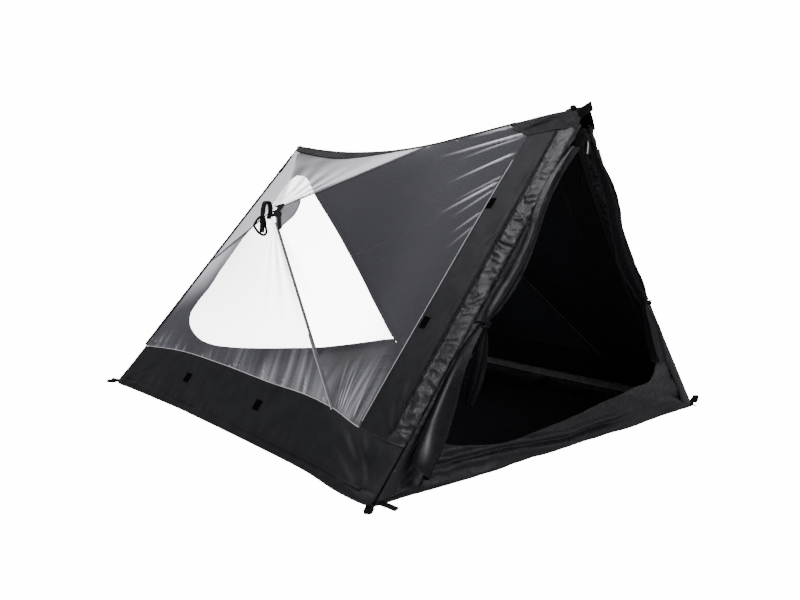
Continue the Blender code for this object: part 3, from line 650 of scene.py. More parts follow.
def net_folds(name, g):
    """Tension folds of one panel: narrow where the cloth is sewn in, wide from the guyed-out point."""
    rng = np.random.RandomState({"front": 3, "lower": 4, "rear": 5, "upper": 6}[name])
    d = np.zeros(g.shape[:2])
    if name == "front":
        for a, e, w, h in (((-0.048, -0.822, 1.13), (-0.074, -0.34, 1.052), 0.0085, 0.0056),
                           ((-0.054, -0.822, 1.121), (-0.1, -0.48, 1.036), 0.007, 0.0032),
                           ((-0.018, -0.75, 1.166), (-0.026, -0.48, 1.13), 0.0085, 0.0044),
                           ((-0.104, -0.815, 1.056), (-0.176, -0.5, 0.944), 0.0085, 0.005),
                           ((-0.168, -0.815, 0.974), (-0.236, -0.6, 0.872), 0.007, 0.003),
                           ((-0.184, -0.812, 0.953), (-0.27, -0.56, 0.824), 0.009, 0.005),
                           ((-0.204, -0.81, 0.926), (-0.284, -0.65, 0.812), 0.007, 0.003),
                           ((-0.262, -0.808, 0.847), (-0.33, -0.69, 0.752), 0.007, 0.0026),
                           ((-0.3, -0.806, 0.798), (-0.372, -0.71, 0.7), 0.0065, 0.0018)):
            d += fold(g, a, e, w, h, 0.8, 0.1)
        for k in range(13):
            t = (k + 0.5) / 13
            foot = np.array([-0.774 + 0.016 * t, -0.776 + 0.155 * t, 0.168 + 0.02 * t])
            head = foot + np.array([0.1 + 0.05 * rng.rand(), 0.02 + 0.05 * t, 0.13 + 0.1 * rng.rand()])
            d += fold(g, foot, head, rng.uniform(0.005, 0.01), rng.uniform(0.0022, 0.0044), 0.5, 0.2)
        for k in range(5):
            e = PULL + np.array([-0.11 + 0.045 * k, -0.5, -0.4 + 0.14 * k])
            d += fold(g, PULL, e, 0.03, 0.0022)
    if name == "lower":
        for k in range(46):
            t = (k + rng.rand()) / 46
            y = -0.6 + 1.53 * t
            foot = np.array([-0.76, y, 0.176])
            tall = 0.6 + 0.4 * math.cos(2.6 * (t - 0.12))
            head = foot + np.array([0.045, 0.02 + 0.03 * rng.rand(), rng.uniform(0.1, 0.3) * tall])
            d += fold(g, foot, head, rng.uniform(0.0045, 0.0125),
                      rng.uniform(0.0014, 0.0042) * tall, 0.5, 0.2)
        for k in range(7):
            f = k / 6
            e = PULL + np.array([-0.16, -0.5 + 1.05 * f, -0.48])
            d += fold(g, PULL, e, 0.034, 0.003)
        for k in range(9):
            f = k / 8
            e = np.array([-0.755 + 0.06 * f, 0.56 + 0.14 * f, 0.215 + 0.26 * f])
            d += fold(g, REAR_FOOT + (0.0, -0.01, 0.012), e, 0.012, rng.uniform(0.0026, 0.0044), 0.4, 0.2)
    if name == "rear":
        for k in range(6):
            f = k / 5
            e = PULL + np.array([-0.02 + 0.36 * f, 0.6, -0.18 + 0.42 * f])
            d += fold(g, PULL, e, 0.03, 0.003)
    if name == "upper":
        for k in range(6):
            f = k / 5
            d += fold(g, PULL + (0.0, -0.01, 0.0), (-0.06, -0.2 + 0.85 * f, 1.09), 0.036, 0.0028)
    return d


def streak_share(name, g):
    """Painted highlight streaks above the foot band, strongest towards the front, and a painted light area
    along the ridge seam.
    """
    if name == "upper":
        n, m = g.shape[:2]
        near = np.linalg.norm(g - RIDGE_MID, axis=-1)
        return 0.6 * (1 - smoothstep(0.03, 0.45, near))
    if name == "rear":
        return np.zeros(g.shape[:2])
    z, y = g[..., 2], g[..., 1]
    line = 0.5 + 0.5 * noise(g, (7.0, 64.0, 4.0), 131)
    line = line ** 1.8 + 0.5 * (0.5 + 0.5 * noise(g, (12.0, 150.0, 6.0), 132)) ** 2
    top = 0.275 + 0.1 * noise(g, (2.0, 11.0, 2.0), 133) + 0.05 * np.cos(3.0 * (y + 0.35))
    fade = (1 - smoothstep(top - 0.11, top + 0.07, z)) ** 1.3
    strong = np.interp(y, (-0.8, -0.55, -0.1, 0.15, 0.6, 0.95), (0.7, 0.85, 0.75, 0.35, 0.3, 0.55))
    return 0.62 * line * fade * strong


for side in ("left", "right"):
    for name, g in wall_panels(side).items():
        n = normals_of(g, OUT)
        drawn = net_folds(name, g)
        d = drawn + 0.0018 * octaves(g, (3.0, 3.0, 3.0), 3, 5)
        g = g + n * (d * edge_fade(g, 0.012))[..., None]
        label = f"{side}_wall_{name}"
        node = f"{side}_panel_{name}"
        if side == "left":
            obj = cloth(label, g, OUT, NET, None)
            gather = obj.data.attributes.new("gather", "FLOAT", "POINT")
            # Gather: on fold crests and streaks the mesh closes up and its colour is painted light, as
            # highlights.
            share = 0.97 * np.clip(drawn / 0.0042, 0.0, 1.0) + streak_share(name, g)
            gather.data.foreach_set("value", np.clip(share, 0.0, 1.0).ravel().astype(np.float32))
        else:
            obj = cloth(label, g * MIRROR, OUT * MIRROR, INNER, SHEET)
        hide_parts(node)


# Black bands of the side walls

FRONT_CORNER = np.array([-0.9, -1.0, FOOT_Z])
REAR_CORNER = np.array([-0.9, 1.0, FOOT_Z])


def straight(a, b):
    return sag(a, b, 0.0, INTO)


def fan(g, tip, ends, width, height, seed, narrow=0.25):
    """Folds that spread out from one pulled point."""
    rng = np.random.RandomState(seed)
    d = np.zeros(g.shape[:2])
    for e in ends:
        e = np.asarray(e, dtype=float) + rng.uniform(-0.012, 0.012, 3)
        d += fold(g, tip, e, width * rng.uniform(0.7, 1.3), height * rng.uniform(0.6, 1.25), narrow, 0.3)
    return d


def foot_bulge(y):
    """How far the foot of a side wall stands out past the edge of the floor."""
    ends = smoothstep(-1.004, -0.985, y) * (1 - smoothstep(0.985, 1.0, y))
    full = (0.014 * smoothstep(0.25, 0.85, y) * (1 - smoothstep(0.93, 1.0, y))
            + 0.006 * smoothstep(-0.6, -0.85, y) * (1 - smoothstep(-0.93, -1.0, y)))
    return (full + 0.003) * ends


def bottom_band_grid():
    """The band along the foot of a side wall, and how deep its corner folds are."""
    g = quilt(foot_line, band_line, straight(foot_line(0)[0], band_line(0)[0]),
              straight(foot_line(1)[0], band_line(1)[0]), 330, 36)
    n = normals_of(g, OUT)
    y = g[..., 1]
    z = g[..., 2]
    up = shares(g.shape[1])[None]
    d = 0.003 * octaves(g, (4.0, 5.0, 6.0), 3, 21)
    corner = fan(g, FRONT_CORNER + (0.0, 0.03, 0.02), [(-0.79, -0.98 + 0.036 * k, 0.17) for k in range(13)],
                 0.012, 0.012, 1)
    corner += fan(g, FRONT_CORNER + (0.0, 0.045, 0.015),
                  [(-0.84, -0.8 + 0.05 * k, 0.1 + 0.012 * k) for k in range(5)], 0.012, 0.0095, 9)
    d += corner
    d += fan(g, FRONT_CORNER + (0.0, 0.04, 0.01),
             [(-0.86, -0.7, 0.05), (-0.84, -0.68, 0.09), (-0.82, -0.62, 0.13)], 0.02, 0.0055, 2)
    d += fan(g, REAR_CORNER + (0.0, -0.03, 0.012), [(-0.8, 0.95 - 0.06 * k, 0.17) for k in range(8)],
             0.016, 0.006, 3)
    d += fan(g, REAR_CORNER + (0.0, -0.03, 0.01), [(-0.86, 0.62, 0.05), (-0.84, 0.6, 0.1), (-0.8, 0.4, 0.14)],
             0.022, 0.005, 4)
    d += 0.002 * noise(g, (3.0, 34.0, 8.0), 31) * smoothstep(0.0, 0.1, up) * (1 - smoothstep(0.25, 0.5, up))
    d += 0.0016 * noise(g, (3.0, 26.0, 6.0), 32) * smoothstep(0.55, 0.9, up)
    d += 0.004 * noise(g, (2.0, 2.4, 9.0), 33) * smoothstep(0.2, 0.6, up) * (1 - smoothstep(0.85, 1.0, up))
    keep = smoothstep(0.0, 0.04, up) * (1 - 0.7 * smoothstep(0.93, 1.0, up))
    ends = smoothstep(-1.004, -0.985, y) * (1 - smoothstep(0.985, 1.0, y))
    g = g + n * (d * keep * ends)[..., None]
    hem = np.exp(-((z - 0.034) / 0.0035) ** 2)
    d = 0.0016 * (1 - smoothstep(0.026, 0.031, z)) - 0.0022 * hem
    g = g + n * (d * ends)[..., None]
    g[..., 0] -= foot_bulge(y) * (1 - smoothstep(0.0, 0.45, up))
    g[..., 2] -= 0.0042 * (1 - smoothstep(0.0, 0.06, up))
    g[..., 2] = np.maximum(g[..., 2], 0.001)
    return g, corner


def front_band_grid():
    """The smooth band between the front panel and the pole sleeve."""
    foot = band_between(float(sleeve_rear(0.0)[0, 1]), BAND_FOOT_REAR[1])
    g = quilt(foot, straight(sleeve_rear(1.0)[0], BAND_TOP), Line(sleeve_rear(shares(9))), band_rear, 34, 210)
    n = normals_of(g, OUT)
    u = shares(g.shape[0])[:, None]
    v = shares(g.shape[1])[None]
    d = 0.0026 * octaves(g, (5.0, 5.0, 2.2), 2, 41)
    seam = np.exp(-((u - 0.1) / 0.055) ** 2) - 0.7 * np.exp(-((u - 0.24) / 0.06) ** 2)
    d += (0.0032 * seam * (0.5 + 0.5 * noise(g, (1.0, 1.0, 3.0), 42)) * smoothstep(0.05, 0.2, v)
          * (1 - smoothstep(0.85, 1, v)))
    low = sleeve_rear(0.0)[0]
    d += fan(g, low + (0.01, 0.0, 0.02), [(-0.7, -0.85, 0.27), (-0.64, -0.87, 0.36), (-0.6, -0.9, 0.42)],
             0.016, 0.0045, 5)
    d += fan(g, (-0.3, -0.94, 0.79), [(-0.42, -0.9, 0.62), (-0.46, -0.92, 0.55), (-0.4, -0.86, 0.7)],
             0.014, 0.0028, 6)
    d += fan(g, (-0.12, -0.95, 1.03), [(-0.24, -0.93, 0.87), (-0.27, -0.91, 0.83), (-0.22, -0.9, 0.92)],
             0.012, 0.0026, 7)
    d += 0.0016 * noise(g, (9.0, 30.0, 9.0), 43) * smoothstep(0.75, 1.0, u)
    g = g + n * (d * edge_fade(g))[..., None]
    return g


def put_both(label, grid, mat, node, thick=SHEET, outward=OUT):
    """The same sheet on the left, and mirrored on the right. Returns both."""
    made = []
    for side, flip in FLIP.items():
        obj = cloth(f"{side}_{label}", grid * flip, np.asarray(outward) * flip, mat, thick)
        if node:
            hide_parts(node.format(side))
        made.append(obj)
    return made


foot_cloth, corner_folds = bottom_band_grid()
# Painted highlight, with more gloss, on the folds of the front corner of the foot band.
y_limit = -0.96 + 0.36 * foot_cloth[..., 2] / 0.17
corner_painted_highlight = ((1 - smoothstep(-0.05, 0.06, foot_cloth[..., 1] - y_limit))
            * (0.16 + np.clip(corner_folds / 0.0055, -0.16, 1.0)))
for obj in put_both("foot_band", foot_cloth, SHELL, "{}_bottom_band"):
    set_shine(obj, 0.2 * np.clip(corner_painted_highlight, 0.0, 1.0))
door_band = front_band_grid()
put_both("door_side_band", door_band, SHELL, "{}_front_band")


# Wrinkled pole sleeves

SLEEVE_ROUND = [(0.088, 0.003), (0.077, 0.0002), (0.06, -0.0004), (0.04, -0.0012), (0.022, -0.0014),
                (0.01, -0.0006), (0.0025, 0.003), (-0.0005, 0.0085), (0.003, 0.014), (0.01, 0.0166),
                (0.02, 0.0156), (0.034, 0.01), (0.055, 0.0064), (0.078, 0.0046)]


def sleeve_grid():
    """The wrinkled sleeve wrapped around the front pole."""
    steps, around = 400, 46
    t = shares(steps)
    s = SLEEVE_FOOT_S + 0.002 + (SLEEVE_TOP_S + 0.01 - SLEEVE_FOOT_S - 0.002) * t
    base = front_edge(s)
    section = Line([(a, b, 0.0) for a, b in SLEEVE_ROUND])(shares(around))
    along = np.array([0.0, 1.0, 0.0])
    g = base[:, None] + along * section[None, :, :1] + INTO * section[None, :, 1:2]
    length = (t * SLEEVE_LENGTH)[:, None] * np.ones((1, around))
    across = np.broadcast_to(np.linspace(0.0, SLEEVE_GIRTH, around)[None], length.shape)
    flat = flat_points(length, across)
    warp = flat + flat_points(0.018 * noise(flat, (9.0, 22.0, 1.0), 51),
                              0.01 * noise(flat, (14.0, 14.0, 1.0), 52))
    deep = 1.0 - np.abs(noise(warp, (21.0, 9.0, 1.0), 53)) ** 0.7
    fine = 1.0 - np.abs(noise(warp, (52.0, 17.0, 1.0), 54)) ** 0.8
    tiny = noise(warp, (120.0, 60.0, 1.0), 55)
    face = smoothstep(0.012, 0.03, across) * (1 - smoothstep(0.15, 0.175, across))
    seam_row = np.exp(-((across - 0.013) / 0.0035) ** 2)
    strength = 0.65 + 0.5 * noise(flat, (2.6, 1.0, 1.0), 56)
    d = face * strength * (0.0128 * (deep - 0.55) + 0.0078 * (fine - 0.55) + 0.0008 * tiny)
    d += (0.0012 * seam_row + 0.001 * noise(flat, (75.0, 30.0, 1.0), 57)
          * (1 - smoothstep(0.02, 0.035, across)))
    d *= smoothstep(0.0, 0.015, t)[:, None] * (1.0 - 0.6 * smoothstep(0.97, 1.0, t))[:, None]
    n = normals_of(g, OUT + np.array([0.0, -0.6, 0.0]))
    centre = base + along * 0.03 + INTO * 0.006
    away = g - centre[:, None]
    n = n * np.sign((n * away).sum(axis=-1, keepdims=True) + 1e-9)
    return g + n * d[..., None]


put_both("pole_sleeve", sleeve_grid(), SATIN, "{}_front_sleeve", thick=THIN_SHEET)


# Gathered doors

def door_grid(gather, end_out, end_in, width_line, depth_line, seed, pleats=9, rows=132, cols=104):
    """One pleated sheet: down along the sleeve to the tie, then hanging free to a slanting hem."""
    rng = np.random.RandomState(seed)
    cuts = np.cumsum(rng.uniform(0.6, 1.5, pleats))
    cuts = np.concatenate([[0.0], cuts / cuts[-1]])
    depth = rng.uniform(0.65, 1.35, pleats + 1)
    c = shares(cols)
    k = np.clip(np.searchsorted(cuts, c, side="right") - 1, 0, pleats - 1)
    inside = (c - cuts[k]) / (cuts[k + 1] - cuts[k])
    wave = -np.cos(2 * math.pi * inside)
    wave = np.sign(wave) * np.abs(wave) ** 0.75
    amp = depth[k] * (1 - inside) + depth[k + 1] * inside
    slide = 0.35 * np.sin(2 * math.pi * inside) * (cuts[k + 1] - cuts[k])
    t = shares(rows)
    grid = np.zeros((rows, cols, 3))
    for j in range(cols):
        hang = Line(np.concatenate([gather(shares(9))[:-1],
                                    np.array([end_out(x)[0] * (1 - c[j]) + end_in(x)[0] * c[j]
                                              for x in shares(7)])]))
        grid[:, j] = hang(t)
    along = unit(np.gradient(grid[:, cols // 2], axis=0))
    ahead = np.array([0.0, -1.0, 0.0])
    side = unit(np.cross(along, ahead))
    w = width_line(t)[:, 0][:, None]
    a = depth_line(t)[:, 0][:, None]
    wobble = 0.25 * noise(flat_points(t[:, None] * 3.0, c[None] * 4.0), 1.0, seed)
    x = w * (c[None] - 0.5 + slide[None])
    y = a * (wave * amp)[None] * (1.0 + wobble)
    grid = grid + side[:, None] * x[..., None] + ahead * y[..., None]
    flat = flat_points(t[:, None] * 1.35, 0.5 * c[None])
    soft = 0.0022 * octaves(flat, (12.0, 9.0, 1.0), 3, seed + 3)
    return grid + ahead * soft[..., None] + side[:, None] * (0.6 * soft)[..., None]


gather_line = Line([(-0.046, -1.052, 1.067), (-0.115, -1.05, 0.994), (-0.19, -1.048, 0.897),
                    (-0.258, -1.044, 0.757), (-0.324, -1.042, 0.658), (-0.386, -1.04, 0.588),
                    (-0.437, -1.038, 0.531), (-0.458, -1.036, 0.508)])
out_end = Line([(-0.482, -1.034, 0.497), (-0.492, -1.03, 0.462), (-0.506, -1.026, 0.42),
                (-0.524, -1.022, 0.38), (-0.54, -1.018, 0.335), (-0.552, -1.014, 0.295),
                (-0.558, -1.01, 0.262)])
in_end = Line([(-0.474, -1.034, 0.497), (-0.476, -1.03, 0.462), (-0.482, -1.026, 0.42), (-0.49, -1.024, 0.38),
               (-0.5, -1.022, 0.335), (-0.514, -1.02, 0.285), (-0.534, -1.018, 0.245)])
width_line = Line([(0.006, 0, 0), (0.022, 0.15, 0), (0.026, 0.35, 0), (0.038, 0.55, 0), (0.034, 0.66, 0),
                   (0.012, 0.735, 0), (0.016, 0.8, 0), (0.022, 0.9, 0), (0.016, 1.0, 0)])
depth_line = Line([(0.003, 0, 0), (0.012, 0.15, 0), (0.015, 0.35, 0), (0.019, 0.55, 0), (0.016, 0.66, 0),
                   (0.007, 0.735, 0), (0.01, 0.8, 0), (0.014, 0.9, 0), (0.012, 1.0, 0)])
left_gather = Line(gather_line(shares(12)) - np.linspace(0.036, 0.02, 12)[:, None] * (1.0, 0.0, 0.0))
left_door = door_grid(left_gather, out_end, in_end, width_line, depth_line, 17)
left_door_cloth = cloth("left_front_door", left_door, AHEAD, SATIN, DOOR_THICK)
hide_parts("front_left_door_gather", "front_left_door_leaf")
right_out = Line([(-0.466, -1.034, 0.497), (-0.49, -1.03, 0.462), (-0.52, -1.026, 0.42),
                  (-0.55, -1.022, 0.38), (-0.578, -1.018, 0.335), (-0.6, -1.014, 0.29),
                  (-0.612, -1.01, 0.25)])
right_in = Line([(-0.456, -1.034, 0.497), (-0.47, -1.03, 0.462), (-0.488, -1.026, 0.42),
                 (-0.504, -1.024, 0.38), (-0.524, -1.02, 0.335), (-0.545, -1.018, 0.29),
                 (-0.566, -1.016, 0.24)])
right_door = door_grid(gather_line, right_out, right_in, width_line, depth_line, 29) * MIRROR
right_door_cloth = cloth("right_front_door", right_door, AHEAD, SATIN, DOOR_THICK)
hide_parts("front_right_door_gather", "front_right_door_leaf")


def leaf_grid(outer, inner, relief, seed, n=110, m=44, fine=0.0007):
    """A flap hanging between two lines; relief is how far it stands out across its width."""
    t = shares(n)
    c = shares(m)
    g = outer(t)[:, None] * (1 - c)[None, :, None] + inner(t)[:, None] * c[None, :, None]
    wide = np.linalg.norm(inner(t) - outer(t), axis=-1)[:, None]
    drift = c[None] + 0.1 * noise(flat_points(t[:, None] * 3.0, c[None]), 1.0, seed)
    xs, ys = zip(*relief)
    d = np.interp(np.clip(drift, 0, 1), xs, ys) * np.minimum(wide, 0.07)
    d += (fine * octaves(np.stack([g[..., 0] + 0.55 * g[..., 2], g[..., 1], g[..., 2]], axis=-1),
                         (40.0, 10.0, 3.0), 3, seed + 1) * smoothstep(0.0, 0.1, c)[None])
    d[:, 1:-1] = (d[:, :-2] + 2 * d[:, 1:-1] + d[:, 2:]) / 4
    g[..., 1] -= d
    return g


long_out = Line([(-0.5, -1.036, 0.5), (-0.552, -1.034, 0.452), (-0.603, -1.032, 0.392),
                 (-0.652, -1.03, 0.315), (-0.692, -1.028, 0.252), (-0.732, -1.028, 0.194),
                 (-0.764, -1.028, 0.14), (-0.776, -1.028, 0.116)])
long_in = Line([(-0.49, -1.04, 0.494), (-0.532, -1.046, 0.45), (-0.572, -1.048, 0.398),
                (-0.614, -1.046, 0.318), (-0.642, -1.042, 0.246), (-0.672, -1.038, 0.182),
                (-0.702, -1.034, 0.096), (-0.738, -1.03, 0.03)])
LONG_RELIEF = ((0.0, 0.0), (0.12, 0.1), (0.26, 0.16), (0.4, 0.62), (0.48, 0.98), (0.56, 0.92), (0.66, 0.42),
               (0.8, 0.22), (0.91, 0.26), (1.0, 0.0))
RIGHT_RELIEF = tuple((share, 0.35 * height) for share, height in LONG_RELIEF)
SHORT_RELIEF = ((0.0, 0.0), (0.22, 0.45), (0.48, 0.22), (0.72, 0.52), (0.9, 0.34), (1.0, 0.0))
short_out = Line([(-0.49, -1.04, 0.492), (-0.508, -1.042, 0.448), (-0.526, -1.042, 0.412),
                  (-0.546, -1.04, 0.37), (-0.562, -1.038, 0.322), (-0.57, -1.034, 0.286)])
short_in = Line([(-0.478, -1.038, 0.49), (-0.48, -1.044, 0.446), (-0.486, -1.044, 0.406),
                 (-0.498, -1.042, 0.343), (-0.52, -1.038, 0.282), (-0.546, -1.034, 0.238)])
long_leaf = cloth("left_door_long_leaf", leaf_grid(long_out, long_in, LONG_RELIEF, 33), AHEAD, GLOSS,
                  DOOR_THICK)
down, over = np.meshgrid(shares(110), shares(44), indexing="ij")
# Painted highlight: a narrow light line with more gloss down the long door leaf.
leaf_painted_highlight = (np.exp(-((over - 0.2 - 0.03 * np.sin(9.0 * down)) / (0.04 + 0.03 * down)) ** 2)
       * smoothstep(0.18, 0.45, down) * (1 - smoothstep(0.8, 0.98, down)))
grain = noise(flat_points(down * 9.0, over * 26.0), 1.0, 171)
set_shine(long_leaf, np.clip(leaf_painted_highlight * (0.75 + 0.45 * grain), 0.0, 1.0) * 0.9)
cloth("left_door_short_leaf", leaf_grid(short_out, short_in, SHORT_RELIEF, 35), AHEAD, GLOSS,
      DOOR_THICK)
right_leaf_out = Line([(-0.472, -1.036, 0.5), (-0.52, -1.036, 0.455), (-0.56, -1.034, 0.405),
                       (-0.592, -1.032, 0.352), (-0.62, -1.03, 0.3), (-0.64, -1.028, 0.25)])
right_leaf_in = Line([(-0.46, -1.038, 0.496), (-0.47, -1.042, 0.452), (-0.492, -1.044, 0.4),
                      (-0.512, -1.042, 0.352), (-0.538, -1.04, 0.3), (-0.58, -1.036, 0.236)])
cloth("right_door_leaf", leaf_grid(right_leaf_out, right_leaf_in, RIGHT_RELIEF, 37) * MIRROR, AHEAD, SATIN,
      DOOR_THICK)

door_hem_in = Line([(-0.812, -1.003, 0.02), (-0.775, -1.006, 0.085), (-0.731, -1.008, 0.148),
                    (-0.69, -1.01, 0.2), (-0.648, -1.012, 0.258), (-0.61, -1.015, 0.33),
                    (-0.578, -1.017, 0.392), (-0.52, -1.019, 0.45), (-0.462, -1.021, 0.505)])


def door_hem_grid():
    """The strip of door cloth along the lower sleeve that the zip is sewn to."""
    t = shares(160)
    inner = door_hem_in(t)
    outer = front_edge(inner[:, 2] / FRONT_HEIGHT) + (0.004, -0.004, 0.0)
    c = shares(22)[None, :, None]
    g = outer[:, None] * (1 - c) + inner[:, None] * c
    c = np.repeat(c[..., 0], len(t), axis=0)
    d = 0.006 * np.sin(math.pi * np.clip(c * 1.05, 0, 1)) + 0.0034 * np.exp(-((c - 0.86) / 0.05) ** 2)
    d += (0.0026 * (1.0 - np.abs(noise(g, (30.0, 30.0, 34.0), 111)) ** 0.8 - 0.5) * smoothstep(0.0, 0.2, c)
          * (1 - smoothstep(0.7, 0.85, c)))
    g[..., 1] -= d
    return g


def door_flange_grid():
    """The strip of door cloth along the upper sleeve, behind the gathered cloth."""
    line = gather_line(shares(90))
    outer = front_edge(line[:, 2] / FRONT_HEIGHT) + (0.004, -0.004, 0.0)
    inner = line + (0.015, 0.012, 0.0)
    c = shares(14)[None, :, None]
    g = outer[:, None] * (1 - c) + inner[:, None] * c
    g[..., 1] -= 0.003 * np.sin(math.pi * c[..., 0]) + 0.0014 * noise(g, (26.0, 20.0, 40.0), 161)
    return g


put_both("door_flange", door_flange_grid(), SATIN, None, outward=AHEAD)
put_both("door_zip_strip", door_hem_grid(), SATIN, None, outward=AHEAD)

for side, flip in FLIP.items():
    # the cord loop and toggle that tie the door back
    centre = np.array([-0.488, -1.046, 0.5]) if side == "left" else np.array([-0.48, -1.038, 0.5])
    tight = 1.0 if side == "left" else 0.75
    ring = [centre + (0.0135 * tight * math.cos(a), 0.016 * tight * math.sin(a) - 0.002, 0.007 * math.cos(a))
            for a in np.linspace(0, 2 * math.pi, 33)[:-1]]
    loop_tube(f"{side}_door_tie", np.array(ring) * flip, 0.0028, WEB, 8)
    knob = [centre + (0.0, -0.014 * tight, -0.01 + 0.02 * f) for f in shares(7)]
    tube(f"{side}_door_toggle", np.array(knob) * flip, 0.0042, PLASTIC, 10, hint=(1.0, 0.0, 0.0))


# Floor and sills

def floor_grid():
    """The floor cloth with a few soft folds, out to the foot of the walls and the sill."""
    n, m = 112, 96
    edge = foot_line(shares(n))
    x = np.linspace(1.0, -1.0, m)
    g = np.zeros((n, m, 3))
    g[..., 0] = edge[:, :1] * x[None]
    g[..., 1] = edge[:, 1:2]
    warp = g + 0.05 * flat_points(noise(g, 3.0, 61), noise(g, 3.0, 62))
    fold_up = np.clip(1.0 - 3.2 * np.abs(noise(warp, (2.6, 1.9, 1.0), 63)), 0.0, 1.0)
    small = np.clip(1.0 - 3.0 * np.abs(noise(warp, (6.5, 5.2, 1.0), 64)), 0.0, 1.0)
    lift = 0.0075 * fold_up ** 2 + 0.0032 * small ** 2 + 0.0008 * noise(g, 22.0, 65)
    g[..., 2] = 0.0042 + lift * smoothstep(0, 0.05, 1 - np.abs(x))[None]
    g[..., 0] -= np.sign(x)[None] * (foot_bulge(g[..., 1]) + 0.0012) * smoothstep(0.85, 1.0, np.abs(x))[None]
    foot = sill_cloth[:, 0]
    g[..., 1] -= ((-HALF_LENGTH - np.interp(g[..., 0], foot[:, 0], foot[:, 1]))
                  * (1 - smoothstep(-1.0, -0.93, g[..., 1])))
    return g


sill_top = Line([(-0.7, 0.0, 0.205), (-0.627, 0.0, 0.165), (-0.5, 0.0, 0.118), (-0.333, 0.0, 0.09),
                 (0.017, 0.0, 0.104), (0.273, 0.0, 0.136), (0.403, 0.0, 0.153), (0.537, 0.0, 0.176),
                 (0.566, 0.0, 0.21), (0.6, 0.0, 0.25)])
sill_points = sill_top(shares(400))
SILL_FOLDS = {-1.0: ((0.62, 0.17), (0.54, 0.13), (0.5, 0.09), (0.55, 0.05), (0.66, 0.2), (0.6, 0.025)),
              1.0: ((0.62, 0.19), (0.54, 0.14), (0.5, 0.1), (0.52, 0.055), (0.66, 0.22), (0.6, 0.025))}


def sill_height(x):
    return np.interp(x, sill_points[:, 0], sill_points[:, 2])


def front_sill_grid():
    """The low cloth across the front doorway, with folds from both corners and one long crease."""
    f = np.linspace(-1.0, 1.0, 230)[:, None]
    j = shares(40)[None]
    top = sill_height(f * 0.7)
    z = 0.001 + (top - 0.001) * j
    reach = (-front_edge(z.ravel() / FRONT_HEIGHT)[:, 0].reshape(z.shape) - 0.006
             - 0.018 * smoothstep(0.02, 0.12, z))
    g = np.stack([f * reach, -HALF_LENGTH - FRONT_OVERHANG * z / FRONT_HEIGHT
                  + 0.008 * smoothstep(0.0, 0.05, z) - 0.003 + 0 * f, z], axis=-1)
    low = 1 - smoothstep(0.0, 0.5, j)
    d = 0.007 * octaves(g, (5.0, 1.0, 14.0), 3, 71) + 0.01 * low * (1 - np.abs(f) ** 3)
    crease = 0.046 + 0.03 * (1 - np.clip((g[..., 0] + 0.403) / 0.41, 0.0, 1.0))
    crease = crease + 0.006 * noise(g, (7.0, 1.0, 1.0), 75)
    run = smoothstep(-0.72, -0.6, g[..., 0]) * (1 - smoothstep(0.25, 0.5, g[..., 0]))
    d += (run * (0.017 * np.exp(-((z - crease - 0.013) / 0.013) ** 2)
                 - 0.008 * np.exp(-((z - crease + 0.008) / 0.008) ** 2)
                 + 0.008 * np.exp(-((z - crease + 0.026) / 0.012) ** 2)))
    for hand, ends in SILL_FOLDS.items():
        tip = (0.88 * hand, -1.0, 0.012)
        d += fan(g, tip, [(x * hand, -1.0, h) for x, h in ends], 0.018, 0.0075, 8)
    d += 0.0016 * noise(g, (42.0, 1.0, 6.0), 73) * smoothstep(0.8, 1.0, j)
    g[..., 1] -= (d * smoothstep(0.0, 0.12, j + 0.12 * (1 - np.abs(f) ** 3))
                  * smoothstep(0.0, 0.03, 1 - np.abs(f)))
    return g


sill_cloth = front_sill_grid()
sill = cloth("front_doorway_sill", sill_cloth, AHEAD, SATIN, SHEET)
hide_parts("front_sill")
floor_cloth = cloth("floor_cloth", floor_grid(), UP, GROUND, 0.0008)
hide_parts("floor")


# Rear end

def rear_plane(points):
    """Points (x, z) of the rear end as points in space, on the leaning plane of the rear poles."""
    return Line([(x, HALF_LENGTH - REAR_LEAN * z / REAR_HEIGHT, z) for x, z in points])


rear_left_rim = rear_plane([(0.01, 1.02), (-0.031, 0.996), (-0.076, 0.94), (-0.111, 0.89), (-0.185, 0.8),
                            (-0.278, 0.695), (-0.333, 0.613), (-0.39, 0.53), (-0.447, 0.442), (-0.505, 0.37),
                            (-0.539, 0.31), (-0.54, 0.262), (-0.515, 0.21), (-0.47, 0.166), (-0.417, 0.139),
                            (-0.305, 0.11), (-0.154, 0.086), (0.076, 0.059), (0.242, 0.042), (0.431, 0.034),
                            (0.64, 0.032), (0.8, 0.032), (0.87, 0.028)])
rear_left_out = rear_plane([(-0.058, 1.072), (-0.098, 1.02), (-0.15, 0.95), (-0.22, 0.862), (-0.3, 0.758),
                            (-0.38, 0.655), (-0.44, 0.577), (-0.5, 0.5), (-0.56, 0.422), (-0.62, 0.344),
                            (-0.69, 0.254), (-0.75, 0.176), (-0.81, 0.098), (-0.858, 0.036), (-0.876, 0.0045),
                            (-0.75, 0.0045), (-0.55, 0.0045), (-0.25, 0.0045), (0.05, 0.0045), (0.35, 0.0045),
                            (0.6, 0.0045), (0.78, 0.0045), (0.872, 0.0045)])
rear_right_rim = rear_plane([(0.008, 1.022), (0.06, 1.012), (0.089, 0.984), (0.122, 0.932), (0.185, 0.858),
                             (0.264, 0.769), (0.34, 0.68), (0.409, 0.594), (0.5, 0.48), (0.578, 0.378),
                             (0.626, 0.312), (0.674, 0.25), (0.724, 0.186), (0.784, 0.108), (0.834, 0.045)])
rear_right_out = rear_plane([(0.055, 1.076), (0.095, 1.024), (0.14, 0.966), (0.185, 0.907), (0.24, 0.836),
                             (0.31, 0.746), (0.38, 0.655), (0.44, 0.577), (0.52, 0.474), (0.59, 0.383),
                             (0.64, 0.318), (0.69, 0.254), (0.74, 0.189), (0.8, 0.111), (0.85, 0.047)])


